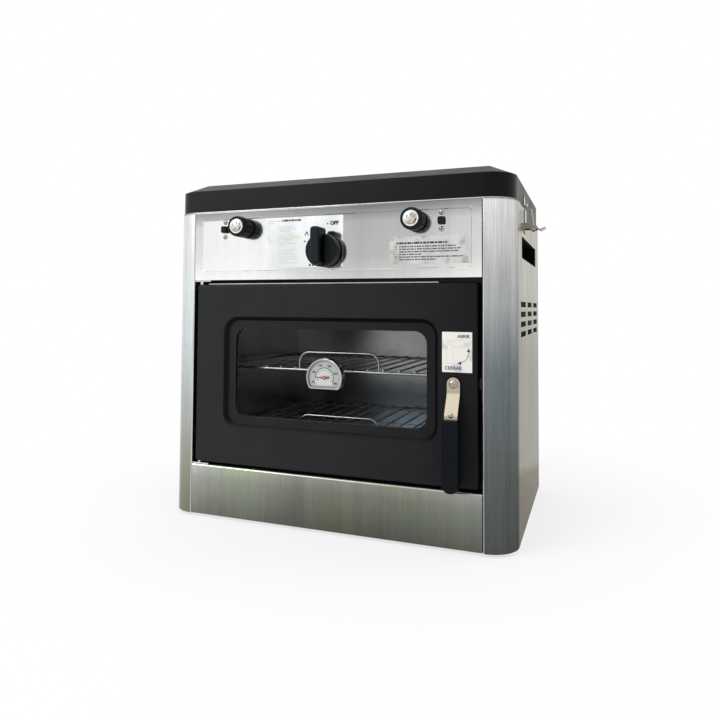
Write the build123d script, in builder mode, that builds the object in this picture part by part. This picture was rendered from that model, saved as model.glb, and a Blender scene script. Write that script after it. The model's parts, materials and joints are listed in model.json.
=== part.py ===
from build123d import *
import math
import os

os.makedirs("parts", exist_ok=True)

# Gas stove with oven, in millimetres: X to the right, Y from the front to the back, Z up.
# The origin is under the middle of the whole object, on the surface that it stands on.

# Body and sheet metal
BODY_WIDTH = 490.0
BODY_DEPTH = 322.0
BODY_HEIGHT = 428.0
FOOT_HEIGHT = 4.0
FOOT_RADIUS = 9.0
FOOT_INSET = 34.0
FOOT_TAPER = 8.0
SHEET = 1.0
SHEET_BEND = 1.5
CORNER_RADIUS = 37.0
POST_WIDTH = 38.7
SEAM_GAP = 0.7
NICHE_DEPTH = 24.0
REAR_FLANGE = 15.0
TOP_FLANGE = 12.0
PAN_RIM = 14.0
PAN_CORNER = 12.0
WALL_FIT = 0.2

# Side panel openings
HOLD_FRONT_MARGIN = 75.0
HOLD_REAR_MARGIN = 45.0
HOLD_TOP_MARGIN = 41.5
HOLD_HEIGHT = 28.5
HOLD_CORNER = 3.0
CUP_DEPTH = 26.0
CUP_WALL = 1.5
CUP_LIP = 5.0
VENT_FRONT_MARGIN = 61.0
VENT_REAR_MARGIN = 27.0
VENT_GAP = 22.0
VENT_COLUMNS = 3
VENT_ROWS = 4
VENT_PITCH = 12.9
VENT_HEIGHT = 7.0
VENT_TOP_MARGIN = 130.6
REAR_VENT_LENGTH = 46.0
REAR_VENT_PITCH = 66.0
REAR_VENT_HEIGHT = 6.0
REAR_VENT_DROP = 52.0

# Front panels
CONTROL_HEIGHT = 98.5
LOWER_HEIGHT = 69.5
PANEL_TOP_FLANGE = 18.0
LOWER_BEND = 3.0
BEAD_SIDE_MARGIN = 9.4
BEAD_TOP_MARGIN = 9.3
BEAD_BOTTOM_MARGIN = 9.4
BEAD_CORNER = 8.0
BEAD_WIDTH = 3.4
BEAD_RISE = 0.9

# Cooktop tray, burners and pan support
TRAY_SHEET = 1.0
TRAY_INSET = 1.5
WELL_DEPTH = 16.0
WELL_SIDE_MARGIN = 34.0
WELL_FRONT_MARGIN = 72.0
WELL_REAR_MARGIN = 18.0
WELL_CORNER = 22.0
WELL_TAPER = 12.0
BURNER_FLANGE_RADIUS = 39.0
BURNER_BOWL_RADIUS = 32.0
BURNER_BOWL_HEIGHT = 15.0
BURNER_WALL = 3.0
BURNER_NECK_RADIUS = 15.0
BURNER_PORTS = 8
PORT_WIDTH = 3.0
PORT_DEPTH = 4.0
CAP_RADIUS = 30.0
CAP_HEIGHT = 6.0
CAP_CHAMFER = 2.0
MIXER_RADIUS = 8.0
MIXER_WALL = 2.0
JET_GAP = 1.0
GRATE_WIRE = 2.5
GRATE_BAR = 2.0
GRATE_END = 3.2
GRATE_MARGIN = 7.0
GRATE_HEIGHT = 29.0
GRATE_BAR_OFFSETS = (16.0, 34.0, 52.0)

# Wires and pipes: sides of their sections, and depth to which welded wires sink into each other
WIRE_SIDES = 8
WELD_SINK = 0.5

# Lid
LID_INSET = 1.5
LID_SKIRT = 30.7
LID_RISE = 14.3
LID_BEVEL_RUN = 33.0
LID_REAR_CORNER = 12.0
LID_GAP = 0.3
LID_HINGE_SPREAD = 150.0
HINGE_LEAF_WIDTH = 40.0
HINGE_LEAF_SHEET = 1.5
HINGE_LEAF_DROP = 26.0
HINGE_KNUCKLE_RADIUS = 4.0
HINGE_PIN_RADIUS = 2.0
HINGE_PIN_FIT = 0.08
HINGE_AXIS_BACK = 4.6
HINGE_AXIS_RISE = 4.2
KNUCKLE_GAP = 0.4

# Oven liner, floor plate, burner and racks
LINER_SHEET = 0.8
LINER_BEND = 2.0
CAVITY_HALF_WIDTH = 188.0
CAVITY_FLOOR = 57.0
CAVITY_TOP = 303.0
CAVITY_REAR_MARGIN = 22.0
MOUTH_SILL = 87.0
FLANGE_BOTTOM = 63.0
FLANGE_TOP_OVERLAP = 12.0
FLANGE_SIDE_OVERLAP = 6.0
FLOOR_PLATE_HEIGHT = 89.0
FLOOR_PLATE_GAP = 3.0
OVEN_BURNER_RADIUS = 8.0
OVEN_BURNER_HEIGHT = 72.0
OVEN_BURNER_END = 150.0
OVEN_BURNER_WALL = 1.5
OVEN_PORT_PITCH = 38.0
OVEN_PORT_COUNT = 7
OVEN_PORT_LENGTH = 14.0
OVEN_PORT_DEPTH = 3.0
OVEN_INLET_REACH = 14.0
OVEN_FOOT_SHEET = 2.0
OVEN_FOOT_INSETS = (20.0, 10.0)
LINER_SLOT_LENGTH = 50.0
LINER_SLOT_WIDTH = 10.0
LINER_SLOT_PITCH = 90.0
LINER_SLOT_SPREAD = 120.0
FLOOR_SLOT_LENGTH = 36.0
FLOOR_SLOT_WIDTH = 9.0
FLOOR_SLOT_PITCH = 52.0
FLOOR_SLOT_INSET = 16.0
FLOOR_SLOT_COUNT = 4
RUNNER_WIDTH = 8.0
RUNNER_FRONT_GAP = 10.0
RUNNER_SHEET = 1.2
UPPER_RACK_HEIGHT = 202.0
LOWER_RACK_HEIGHT = 114.0
RACK_SIDE_GAP = 4.5
RACK_FRONT_MARGIN = 21.0
RACK_REAR_GAP = 6.0
RACK_RAIL = 2.0
RACK_WIRE = 1.4
RACK_END = 0.6
RACK_PITCH = 22.0
RACK_WIRE_SIDES = 6
RACK_CORNER = 10.0
RACK_LIFT = 0.25
LOOP_HALF_WIDTH = 59.0
LOOP_HEIGHT = 25.0
LOOP_WIRE = 1.6
LOOP_CORNER = 14.0

# Door
DOOR_GAP_LEFT = 3.0
DOOR_GAP_RIGHT = 5.6
DOOR_GAP_BOTTOM = 3.0
DOOR_GAP_TOP = 5.5
DOOR_RECESS = 3.0
DOOR_PAN_DEPTH = 16.0
DOOR_BEND = 3.0
DOOR_CORNER = 4.0
WINDOW_LEFT_MARGIN = 45.0
WINDOW_RIGHT_MARGIN = 49.7
WINDOW_BOTTOM_MARGIN = 50.5
WINDOW_TOP_MARGIN = 45.3
WINDOW_CORNER = 22.0
WINDOW_SLOPE = 5.5
WINDOW_RECESS = 7.0
WINDOW_RING = 10.7
GLASS_THICKNESS = 4.0
GLASS_OVERLAP = 7.0
INNER_CUP_RUN = 4.0
GASKET_WIDTH = 8.0
GASKET_HEIGHT = 3.4
GASKET_MARGIN = 6.5
HEM_FRONT_GAP = 2.0
HEM_LEFT_MARGIN = 18.0
HEM_RIGHT_MARGIN = 50.0
DOOR_AXIS_INSET = 5.3
DOOR_AXIS_DEPTH = 7.0
DOOR_PIN_RADIUS = 2.5
DOOR_PIN_FIT = 0.08
DOOR_PIN_REACH = 6.0
BRACKET_SHEET = 1.6
BRACKET_LENGTH = 26.0
BRACKET_REACH = 5.0

# Door thermometer
DIAL_RADIUS = 25.4
DIAL_FLAT_DROP = 15.2
DIAL_CENTRE_DROP = 1.6
DIAL_CENTRE_SHIFT = 2.0
CASE_FRONT = 2.0
CASE_WALL = 2.2
CASE_FACE_DEPTH = 3.0
CASE_CORNER = 5.0
STEM_RADIUS = 2.3
STEM_LENGTH = 8.0
NUT_RADIUS = 9.0
NUT_HEIGHT = 3.0
POINTER_LENGTH = 13.5
POINTER_TAIL = 6.0
POINTER_WIDTH = 2.4
POINTER_SHEET = 0.6
POINTER_GAP = 0.7
POINTER_PIN_RADIUS = 1.0
POINTER_PIN_LENGTH = 2.2
POINTER_FIT = 0.06

# Handle and catch
HANDLE_SIDE_MARGIN = 29.5
HANDLE_HEIGHT = 199.5
ARM_WIDTH = 16.0
ARM_SHEET = 2.0
ARM_FRONT = 2.4
ARM_STEP = 15.0
ARM_STEP_TOP = 12.0
ARM_STEP_DROP = 36.0
ARM_BEND = 5.0
GRIP_WIDTH = 19.5
GRIP_LENGTH = 86.0
GRIP_TOP_DROP = 41.0
GRIP_THICKNESS = 14.0
GRIP_POCKET = 50.0
GRIP_FIT = 0.15
GRIP_CORNER = 3.0
GRIP_TIP_FLAT = 1.0
GRIP_CHAMFER = 2.0
SHAFT_RADIUS = 4.0
SHAFT_FIT = 0.08
SHAFT_COLLAR_RADIUS = 7.5
SHAFT_TAIL = 2.5
BOLT_HEAD_RADIUS = 5.6
BOLT_HEAD_HEIGHT = 3.0
TONGUE_SHEET = 2.5
TONGUE_WIDTH = 13.0
TONGUE_PAN_GAP = 4.5
TONGUE_CLEARANCE = 1.2
TONGUE_SLOT_GAP = 1.5
TONGUE_SLOT_RISE = 3.0
TONGUE_SIDE_GAP = 1.0
KEEPER_SHEET = 1.2
KEEPER_HEIGHT = 44.0
KEEPER_LIP = 0.9
KEEPER_GAP = 2.6

# Controls
BURNER_KNOB_INSET = 83.3
BURNER_KNOB_HEIGHT = 402.0
BURNER_KNOB_RADIUS = 14.0
BURNER_KNOB_FACE = 26.0
BURNER_KNOB_FLUTES = 12
KNOB_FLUTE = 0.9
KNOB_CROWN = 4.0
KNOB_CHAMFER = 1.4
KNOB_SOCKET = 14.0
KNOB_TRAVEL = 3.0
KNOB_STOP_GAP = 1.2
KNOB_INSERT_RADIUS = 11.4
KNOB_INSERT_DEPTH = 0.6
OVEN_KNOB_HEIGHT = 367.0
OVEN_KNOB_RADIUS = 22.0
OVEN_KNOB_SKIRT = 20.0
OVEN_KNOB_FACE = 39.0
OVEN_BAR_WIDTH = 13.0
OVEN_BAR_TOP = 28.5
OVEN_BAR_BOTTOM = 20.0
OVEN_BAR_SINK = 3.0
OVEN_BAR_CORNER = 4.0
OVEN_KNOB_CHAMFER = 1.8
OVEN_KNOB_SOCKET = 20.0
SPINDLE_RADIUS = 3.0
SPINDLE_FIT = 0.06
SPINDLE_HOLE_RADIUS = 5.0
SPINDLE_END_GAP = 0.2
SPINDLE_BACK = 30.0
PLUG_RADIUS = 6.0
PLUG_FIT = 0.06
PLUG_FRONT = 15.2
PLUG_BACK = 38.0
VALVE_RADIUS = 10.0
VALVE_FRONT = 8.0
VALVE_BACK = 44.0
VALVE_FACE_WALL = 7.0
JET_RADIUS = 4.0
JET_LENGTH = 14.0
IGNITER_INSET = 50.3
IGNITER_HEIGHT = 401.0
IGNITER_SCREW_SPACING = 21.0
BUTTON_WIDTH = 8.4
BUTTON_HEIGHT = 9.3
BUTTON_REACH = 6.0
BUTTON_TRAVEL = 4.0
BUTTON_STEM = 14.0
BUTTON_FIT = 0.35
BUTTON_CORNER = 2.2
BUTTON_CHAMFER = 1.0
IGNITER_FLANGE = 2.0
IGNITER_FLANGE_WIDTH = 12.0
IGNITER_FLANGE_MARGIN = 4.5
IGNITER_RADIUS = 7.0
IGNITER_LENGTH = 40.0
SCREW_HEAD_RADIUS = 3.6
SCREW_HEAD_HEIGHT = 2.0
SCREW_RADIUS = 1.6
SCREW_SIDES = 8

# Gas pipes
MANIFOLD_RADIUS = 6.0
MANIFOLD_HEIGHT = 384.6
MANIFOLD_DEPTH = 30.0
MANIFOLD_OVERHANG = 27.0
FEED_X = 186.0
FEED_BEND = 20.0
BOSS_RADIUS = 5.0
BOSS_HEIGHT = 1.0
INLET_HEX = 17.0
INLET_HEX_LENGTH = 8.0
INLET_THREAD_RADIUS = 6.6
INLET_THREAD_LENGTH = 14.0
INLET_BORE = 3.5
OVEN_PIPE_RADIUS = 3.0
OVEN_PIPE_DROP = 327.0
OVEN_PIPE_X = 216.0
OVEN_PIPE_DEPTH = 66.0
OVEN_PIPE_BEND = 9.0

# Side latches
LATCH_DEPTH = 115.0
LATCH_PLATE_WIDTH = 22.0
LATCH_PLATE_HEIGHT = 33.0
LATCH_PLATE_DROP = 2.0
LATCH_SHEET = 1.2
LATCH_CORNER = 2.0
LATCH_EAR_RADIUS = 3.2
LATCH_EAR_HALF = 4.0
LATCH_PIVOT_OUT = 5.6
LATCH_PIVOT_DROP = 24.0
LATCH_PIN_RADIUS = 1.5
LATCH_PIN_FIT = 0.08
LEVER_ANGLE = 34.0
LEVER_WIDTH = 18.0
LEVER_LENGTH = 16.5
LEVER_PLATE_RISE = 3.0
LEVER_CHEEK_RADIUS = 3.0
LEVER_CHEEK_RUN = 3.5
LEVER_TAB = 7.0
LEVER_TAB_RUN = 3.5
BAIL_PIVOT = 8.0
BAIL_WIRE = 1.1
BAIL_FIT = 0.08
BAIL_LENGTH = 27.0
BAIL_LEAN = 8.0
BAIL_HALF_WIDTH = 5.6
BAIL_FOOT_BEND = 1.2
BAIL_HEAD_BEND = 3.0
BAIL_NOTCH = 2.4
BAIL_NOTCH_HEIGHT = 12.0
STRIKE_WIDTH = 14.0
STRIKE_REACH = 4.6
STRIKE_RISE = 3.0
STRIKE_LIP = 4.2
STRIKE_HEIGHT = 14.0

# Electrodes and thermocouple
ELECTRODE_RADIUS = 3.0
ELECTRODE_HEIGHT = 12.0
ELECTRODE_PIN_RADIUS = 1.0
ELECTRODE_PIN_HEIGHT = 17.0
ELECTRODE_GAP = 6.0
PROBE_X = 60.0
PROBE_GAP = 10.0
PROBE_RADIUS = 2.5
PROBE_HEIGHT = 20.0

half_width = BODY_WIDTH / 2
seam_x = half_width - POST_WIDTH
panel_half = seam_x - SEAM_GAP
whole_depth = OVEN_KNOB_FACE + BODY_DEPTH + INLET_HEX_LENGTH + INLET_THREAD_LENGTH
front_y = OVEN_KNOB_FACE - whole_depth / 2
back_y = front_y + BODY_DEPTH
base_z = FOOT_HEIGHT
seam_z = base_z + BODY_HEIGHT
rim_z = seam_z - TRAY_SHEET
control_z = seam_z - CONTROL_HEIGHT
lower_z = base_z + LOWER_HEIGHT
wall_x = half_width - SHEET
rear_face_y = back_y - SHEET
pieces = {}


def front_plane(y):
    """Drawing plane across the object at depth y, seen from the front."""
    return Plane.XZ.offset(-y)


def wire_along(path, radius, upright=None):
    """Wire along a path of lines and arcs, each arc under half a turn; upright is square to a flat path."""
    for stretch in path.edges():
        start = Plane(origin=stretch @ 0, x_dir=upright, z_dir=stretch % 0)
        with BuildSketch(start, mode=Mode.PRIVATE) as section:
            RegularPolygon(radius, WIRE_SIDES)
        if stretch.geom_type == GeomType.CIRCLE:
            turn = Axis(stretch.arc_center, (stretch % 0).cross(stretch % 1))
            revolve(section.sketch, axis=turn, revolution_arc=(stretch % 0).get_angle(stretch % 1))
        else:
            extrude(section.sketch, amount=stretch.length)


def rectangle_between(x0, x1, y0, y1, radius=0.0):
    """Rectangle between two corners of the active sketch plane, with rounded corners."""
    with Locations(((x0 + x1) / 2, (y0 + y1) / 2)):
        if radius > 0:
            RectangleRounded(x1 - x0, y1 - y0, radius)
        else:
            Rectangle(x1 - x0, y1 - y0)


def body_plan(inset, front_radius, rear_radius=0.0):
    """Plan of the body, drawn in from its faces, with rounded corners."""
    with BuildSketch(mode=Mode.PRIVATE) as plan:
        with Locations((0, (front_y + back_y) / 2)):
            Rectangle(BODY_WIDTH - 2 * inset, BODY_DEPTH - 2 * inset)
        fillet(plan.vertices().group_by(Axis.Y)[0], radius=front_radius)
        if rear_radius > 0:
            fillet(plan.vertices().group_by(Axis.Y)[-1], radius=rear_radius)
    add(plan.sketch)


def bent_strip(points, radii, thickness, side):
    """Section of bent sheet metal along a line with rounded bends."""
    with BuildSketch(mode=Mode.PRIVATE) as strip:
        with BuildLine():
            FilletPolyline(*points, radius=radii)
            offset(amount=thickness, side=side)
        make_face()
    add(strip.sketch)


# Base pan and rubber feet
pan_front = front_y + NICHE_DEPTH + SHEET
pan_back = rear_face_y - SHEET - WALL_FIT
pan_half = wall_x - WALL_FIT
with BuildPart() as base_pan:
    with BuildSketch(Plane.XY.offset(base_z)) as pan_plan:
        rectangle_between(-pan_half, pan_half, pan_front, pan_back)
        fillet(pan_plan.vertices().group_by(Axis.Y)[0], radius=PAN_CORNER)
    extrude(amount=PAN_RIM)
    offset(amount=-SHEET, openings=base_pan.faces().sort_by(Axis.Z)[-1])
pieces["base_pan"] = base_pan

foot_x = half_width - FOOT_INSET
foot_ys = (pan_front + FOOT_INSET / 2, pan_back - FOOT_INSET / 2)
with BuildPart() as rubber_feet:
    with BuildSketch(Plane.XY.offset(base_z)):
        for foot_y in foot_ys:
            with Locations((-foot_x, foot_y), (foot_x, foot_y)):
                Circle(FOOT_RADIUS)
    extrude(amount=-FOOT_HEIGHT, taper=FOOT_TAPER)
pieces["rubber_feet"] = rubber_feet

# Side panels, each one sheet bent round its front corner
hold_length = BODY_DEPTH - HOLD_FRONT_MARGIN - HOLD_REAR_MARGIN
hold_y = front_y + HOLD_FRONT_MARGIN + hold_length / 2
hold_z = seam_z - HOLD_TOP_MARGIN - HOLD_HEIGHT / 2
vent_run = BODY_DEPTH - VENT_FRONT_MARGIN - VENT_REAR_MARGIN
vent_length = (vent_run - (VENT_COLUMNS - 1) * VENT_GAP) / VENT_COLUMNS
vent_y = front_y + VENT_FRONT_MARGIN + vent_run / 2
vent_z = seam_z - VENT_TOP_MARGIN - (VENT_ROWS - 1) * VENT_PITCH / 2
with BuildPart() as side_panel_right:
    with BuildSketch(Plane.XY.offset(base_z)):
        bent_strip(
            [
                (seam_x, front_y + NICHE_DEPTH),
                (seam_x, front_y),
                (half_width, front_y),
                (half_width, back_y),
                (half_width - REAR_FLANGE, back_y),
            ],
            [SHEET_BEND, CORNER_RADIUS, SHEET_BEND],
            SHEET,
            Side.LEFT,
        )
    extrude(amount=rim_z - base_z)
    with BuildSketch(Plane.XY.offset(rim_z)):
        rectangle_between(wall_x - TOP_FLANGE, wall_x, front_y + 2 * CORNER_RADIUS, back_y - REAR_FLANGE)
    extrude(amount=-SHEET)
    with BuildSketch(Plane.YZ.offset(half_width)):
        with Locations((hold_y, hold_z)):
            RectangleRounded(hold_length, HOLD_HEIGHT, HOLD_CORNER)
        with Locations((vent_y, vent_z)):
            with GridLocations(vent_length + VENT_GAP, VENT_PITCH, VENT_COLUMNS, VENT_ROWS):
                Rectangle(vent_length, VENT_HEIGHT)
    extrude(amount=-SHEET, mode=Mode.SUBTRACT)
pieces["side_panel_right"] = side_panel_right

with BuildPart() as side_panel_left:
    mirror(side_panel_right.part, about=Plane.YZ)
pieces["side_panel_left"] = side_panel_left

# Recessed cups behind the hand holds
with BuildPart() as hand_hold_cups:
    with BuildSketch(Plane.YZ.offset(wall_x)):
        with Locations((hold_y, hold_z)):
            Rectangle(hold_length + 2 * CUP_LIP, HOLD_HEIGHT + 2 * CUP_LIP)
    extrude(amount=-CUP_WALL)
    with BuildSketch(Plane.YZ.offset(wall_x)):
        with Locations((hold_y, hold_z)):
            Rectangle(hold_length + 2 * CUP_WALL, HOLD_HEIGHT + 2 * CUP_WALL)
    extrude(amount=-CUP_DEPTH)
    with BuildSketch(Plane.YZ.offset(wall_x)):
        with Locations((hold_y, hold_z)):
            RectangleRounded(hold_length, HOLD_HEIGHT, HOLD_CORNER)
    extrude(amount=-(CUP_DEPTH - CUP_WALL), mode=Mode.SUBTRACT)
    mirror(about=Plane.YZ)
pieces["hand_hold_cups"] = hand_hold_cups

# Control panel with its raised bead and the holes for spindles, buttons and screws
knob_x = seam_x - BURNER_KNOB_INSET
knob_z = base_z + BURNER_KNOB_HEIGHT
oven_knob_z = base_z + OVEN_KNOB_HEIGHT
igniter_x = seam_x - IGNITER_INSET
igniter_z = base_z + IGNITER_HEIGHT
bead_half = panel_half - BEAD_SIDE_MARGIN
bead_bottom = control_z + BEAD_BOTTOM_MARGIN
bead_top = seam_z - BEAD_TOP_MARGIN
with BuildPart() as control_panel:
    with BuildSketch(Plane.YZ.offset(-panel_half)):
        bent_strip(
            [
                (front_y + PANEL_TOP_FLANGE, rim_z),
                (front_y, rim_z),
                (front_y, control_z),
                (front_y + NICHE_DEPTH, control_z),
            ],
            SHEET_BEND,
            SHEET,
            Side.LEFT,
        )
    extrude(amount=2 * panel_half)
    with BuildSketch(front_plane(front_y)):
        rectangle_between(-bead_half, bead_half, bead_bottom, bead_top, BEAD_CORNER)
        offset(amount=-BEAD_WIDTH, mode=Mode.SUBTRACT)
    extrude(amount=BEAD_RISE)
    chamfer(control_panel.edges().group_by(Axis.Y)[0], length=BEAD_RISE / 2)
    with BuildSketch(front_plane(front_y)):
        with Locations((-knob_x, knob_z), (knob_x, knob_z), (0, oven_knob_z)):
            Circle(SPINDLE_HOLE_RADIUS)
        with Locations((-igniter_x, igniter_z), (igniter_x, igniter_z)):
            Rectangle(BUTTON_WIDTH + 2 * BUTTON_FIT, BUTTON_HEIGHT + 2 * BUTTON_FIT)
            with GridLocations(1, IGNITER_SCREW_SPACING, 1, 2):
                Circle(SCREW_RADIUS + SPINDLE_FIT)
    extrude(amount=-SHEET, mode=Mode.SUBTRACT)
pieces["control_panel"] = control_panel

# Lower front panel
with BuildPart() as lower_front_panel:
    with BuildSketch(Plane.YZ.offset(-panel_half)):
        bent_strip(
            [
                (front_y + NICHE_DEPTH, lower_z),
                (front_y, lower_z),
                (front_y, base_z),
                (pan_front, base_z),
            ],
            [LOWER_BEND, SHEET_BEND],
            SHEET,
            Side.LEFT,
        )
    extrude(amount=2 * panel_half)
pieces["lower_front_panel"] = lower_front_panel

# Rear panel with its vents
feed_x = -FEED_X
manifold_z = base_z + MANIFOLD_HEIGHT
rear_half = wall_x - SHEET_BEND
vent_count = 2 * math.floor(half_width / REAR_VENT_PITCH - 0.5) - 1
with BuildPart() as rear_panel:
    with BuildSketch(front_plane(rear_face_y)):
        rectangle_between(-rear_half, rear_half, base_z + SHEET, rim_z)
        with Locations((0, seam_z - REAR_VENT_DROP)):
            with GridLocations(REAR_VENT_PITCH, 2 * REAR_VENT_HEIGHT, vent_count - 2, 2):
                Rectangle(REAR_VENT_LENGTH, REAR_VENT_HEIGHT, mode=Mode.SUBTRACT)
        with Locations((0, base_z + OVEN_BURNER_HEIGHT)):
            with GridLocations(REAR_VENT_PITCH, 2 * REAR_VENT_HEIGHT, vent_count, 2):
                Rectangle(REAR_VENT_LENGTH, REAR_VENT_HEIGHT, mode=Mode.SUBTRACT)
        with Locations((feed_x, manifold_z)):
            Circle(MANIFOLD_RADIUS + WALL_FIT, mode=Mode.SUBTRACT)
    extrude(amount=SHEET)
pieces["rear_panel"] = rear_panel

# Cooktop tray with its pressed well
well_half = half_width - WELL_SIDE_MARGIN
well_front = front_y + WELL_FRONT_MARGIN
well_back = back_y - WELL_REAR_MARGIN
well_top_z = seam_z - WELL_DEPTH + TRAY_SHEET
burner_y = (well_front + well_back) / 2
with BuildPart() as cooktop_tray:
    with BuildSketch(Plane.XY.offset(rim_z)):
        body_plan(TRAY_INSET, CORNER_RADIUS - TRAY_INSET)
    extrude(amount=TRAY_SHEET)
    with BuildSketch(Plane.XY.offset(seam_z)):
        rectangle_between(-well_half, well_half, well_front, well_back, WELL_CORNER)
    extrude(amount=-WELL_DEPTH, taper=WELL_TAPER)
    with BuildSketch(Plane.XY.offset(seam_z)):
        rectangle_between(-well_half, well_half, well_front, well_back, WELL_CORNER)
        offset(amount=-TRAY_SHEET)
    extrude(amount=-(WELL_DEPTH - TRAY_SHEET), taper=WELL_TAPER, mode=Mode.SUBTRACT)
    with BuildSketch(Plane.XY.offset(well_top_z)):
        with Locations((-knob_x, burner_y), (knob_x, burner_y)):
            Circle(BURNER_NECK_RADIUS + WALL_FIT)
    extrude(amount=-TRAY_SHEET, mode=Mode.SUBTRACT)
pieces["cooktop_tray"] = cooktop_tray

# Burner bases with their mixing tubes, and burner caps
bowl_z = well_top_z + BURNER_BOWL_HEIGHT
mixer_front = front_y + VALVE_BACK + JET_LENGTH + JET_GAP
neck_drop = well_top_z - knob_z
with BuildPart() as burner_bases:
    with BuildSketch(Plane.XY.offset(well_top_z)):
        with Locations((knob_x, burner_y)):
            Circle(BURNER_FLANGE_RADIUS)
    extrude(amount=BURNER_WALL)
    with BuildSketch(Plane.XY.offset(well_top_z)):
        with Locations((knob_x, burner_y)):
            Circle(BURNER_BOWL_RADIUS)
    extrude(amount=BURNER_BOWL_HEIGHT)
    with BuildSketch(Plane.XY.offset(bowl_z)):
        with Locations((knob_x, burner_y)):
            Circle(BURNER_BOWL_RADIUS - BURNER_WALL)
    extrude(amount=-(BURNER_BOWL_HEIGHT - BURNER_WALL), mode=Mode.SUBTRACT)
    with BuildSketch(Plane.XY.offset(well_top_z)):
        with Locations((knob_x, burner_y)):
            Circle(BURNER_NECK_RADIUS)
    extrude(amount=-neck_drop - MIXER_RADIUS - MIXER_WALL)
    with BuildSketch(front_plane(mixer_front)):
        with Locations((knob_x, knob_z)):
            RegularPolygon(MIXER_RADIUS, WIRE_SIDES)
    extrude(amount=-(burner_y - mixer_front))
    with BuildSketch(front_plane(mixer_front)):
        with Locations((knob_x, knob_z)):
            RegularPolygon(MIXER_RADIUS - MIXER_WALL, WIRE_SIDES)
    extrude(amount=-(burner_y - mixer_front), mode=Mode.SUBTRACT)
    with BuildSketch(Plane.XY.offset(well_top_z + BURNER_WALL)):
        with Locations((knob_x, burner_y)):
            Circle(BURNER_NECK_RADIUS - BURNER_WALL)
    extrude(amount=-(neck_drop + BURNER_WALL), mode=Mode.SUBTRACT)
    with BuildSketch(Plane.XY.offset(bowl_z)):
        with Locations((knob_x, burner_y)):
            with PolarLocations(BURNER_BOWL_RADIUS - BURNER_WALL / 2, BURNER_PORTS):
                Rectangle(3 * BURNER_WALL, PORT_WIDTH)
    extrude(amount=-PORT_DEPTH, mode=Mode.SUBTRACT)
    mirror(about=Plane.YZ)
pieces["burner_bases"] = burner_bases

with BuildPart() as burner_caps:
    with BuildSketch(Plane.XY.offset(bowl_z)):
        with Locations((knob_x, burner_y)):
            Circle(CAP_RADIUS)
    extrude(amount=CAP_HEIGHT)
    chamfer(burner_caps.edges().group_by(Axis.Z)[-1], length=CAP_CHAMFER)
    mirror(about=Plane.YZ)
pieces["burner_caps"] = burner_caps

# Wire pan support
grate_z = well_top_z + GRATE_HEIGHT
grate_half = well_half - GRATE_MARGIN - WELL_DEPTH * math.tan(math.radians(WELL_TAPER))
grate_front = well_front + well_half - grate_half
grate_back = well_back - well_half + grate_half
bar_z = grate_z + GRATE_WIRE + GRATE_BAR - WELD_SINK
with BuildPart() as pan_support:
    with BuildLine(Plane.XY.offset(grate_z)) as grate_frame:
        FilletPolyline(
            (grate_half, grate_front),
            (grate_half, grate_back),
            (-grate_half, grate_back),
            (-grate_half, grate_front),
            radius=WELL_CORNER,
            close=True,
        )
    wire_along(grate_frame.wire(), GRATE_WIRE, (0, 0, 1))
    with BuildSketch(front_plane(grate_front - GRATE_END)):
        for side in (-1, 1):
            for bar_offset in GRATE_BAR_OFFSETS:
                with Locations((side * knob_x - bar_offset, bar_z), (side * knob_x + bar_offset, bar_z)):
                    RegularPolygon(GRATE_BAR, WIRE_SIDES, rotation=180 / WIRE_SIDES)
    extrude(amount=-(grate_back - grate_front + 2 * GRATE_END))
    with BuildSketch(Plane.XY.offset(grate_z)):
        for leg_x in (-knob_x, 0, knob_x):
            with Locations((leg_x, grate_front), (leg_x, grate_back)):
                RegularPolygon(GRATE_BAR, WIRE_SIDES)
    extrude(amount=-GRATE_HEIGHT)
pieces["pan_support"] = pan_support

# Lid, pressed from one sheet
lid_z = seam_z + LID_GAP
crease_z = seam_z + LID_SKIRT
top_z = crease_z + LID_RISE
lid_corner = CORNER_RADIUS - LID_INSET
bevel_slope = math.atan(LID_RISE / LID_BEVEL_RUN)
bevel_taper = 90 - math.degrees(bevel_slope)
inner_crease_z = crease_z + SHEET * (math.tan(bevel_slope) - 1 / math.cos(bevel_slope))
with BuildPart() as lid_shell:
    with BuildSketch(Plane.XY.offset(lid_z)):
        body_plan(LID_INSET, lid_corner, LID_REAR_CORNER)
    extrude(amount=crease_z - lid_z)
    with BuildSketch(Plane.XY.offset(crease_z)):
        body_plan(LID_INSET, lid_corner, LID_REAR_CORNER)
    extrude(amount=LID_RISE, taper=bevel_taper)
    with BuildSketch(Plane.XY.offset(lid_z)):
        body_plan(LID_INSET + SHEET, lid_corner - SHEET, LID_REAR_CORNER - SHEET)
    extrude(amount=inner_crease_z - lid_z, mode=Mode.SUBTRACT)
    with BuildSketch(Plane.XY.offset(inner_crease_z)):
        body_plan(LID_INSET + SHEET, lid_corner - SHEET, LID_REAR_CORNER - SHEET)
    extrude(amount=top_z - SHEET - inner_crease_z, taper=bevel_taper, mode=Mode.SUBTRACT)
pieces["lid_shell"] = lid_shell

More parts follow.
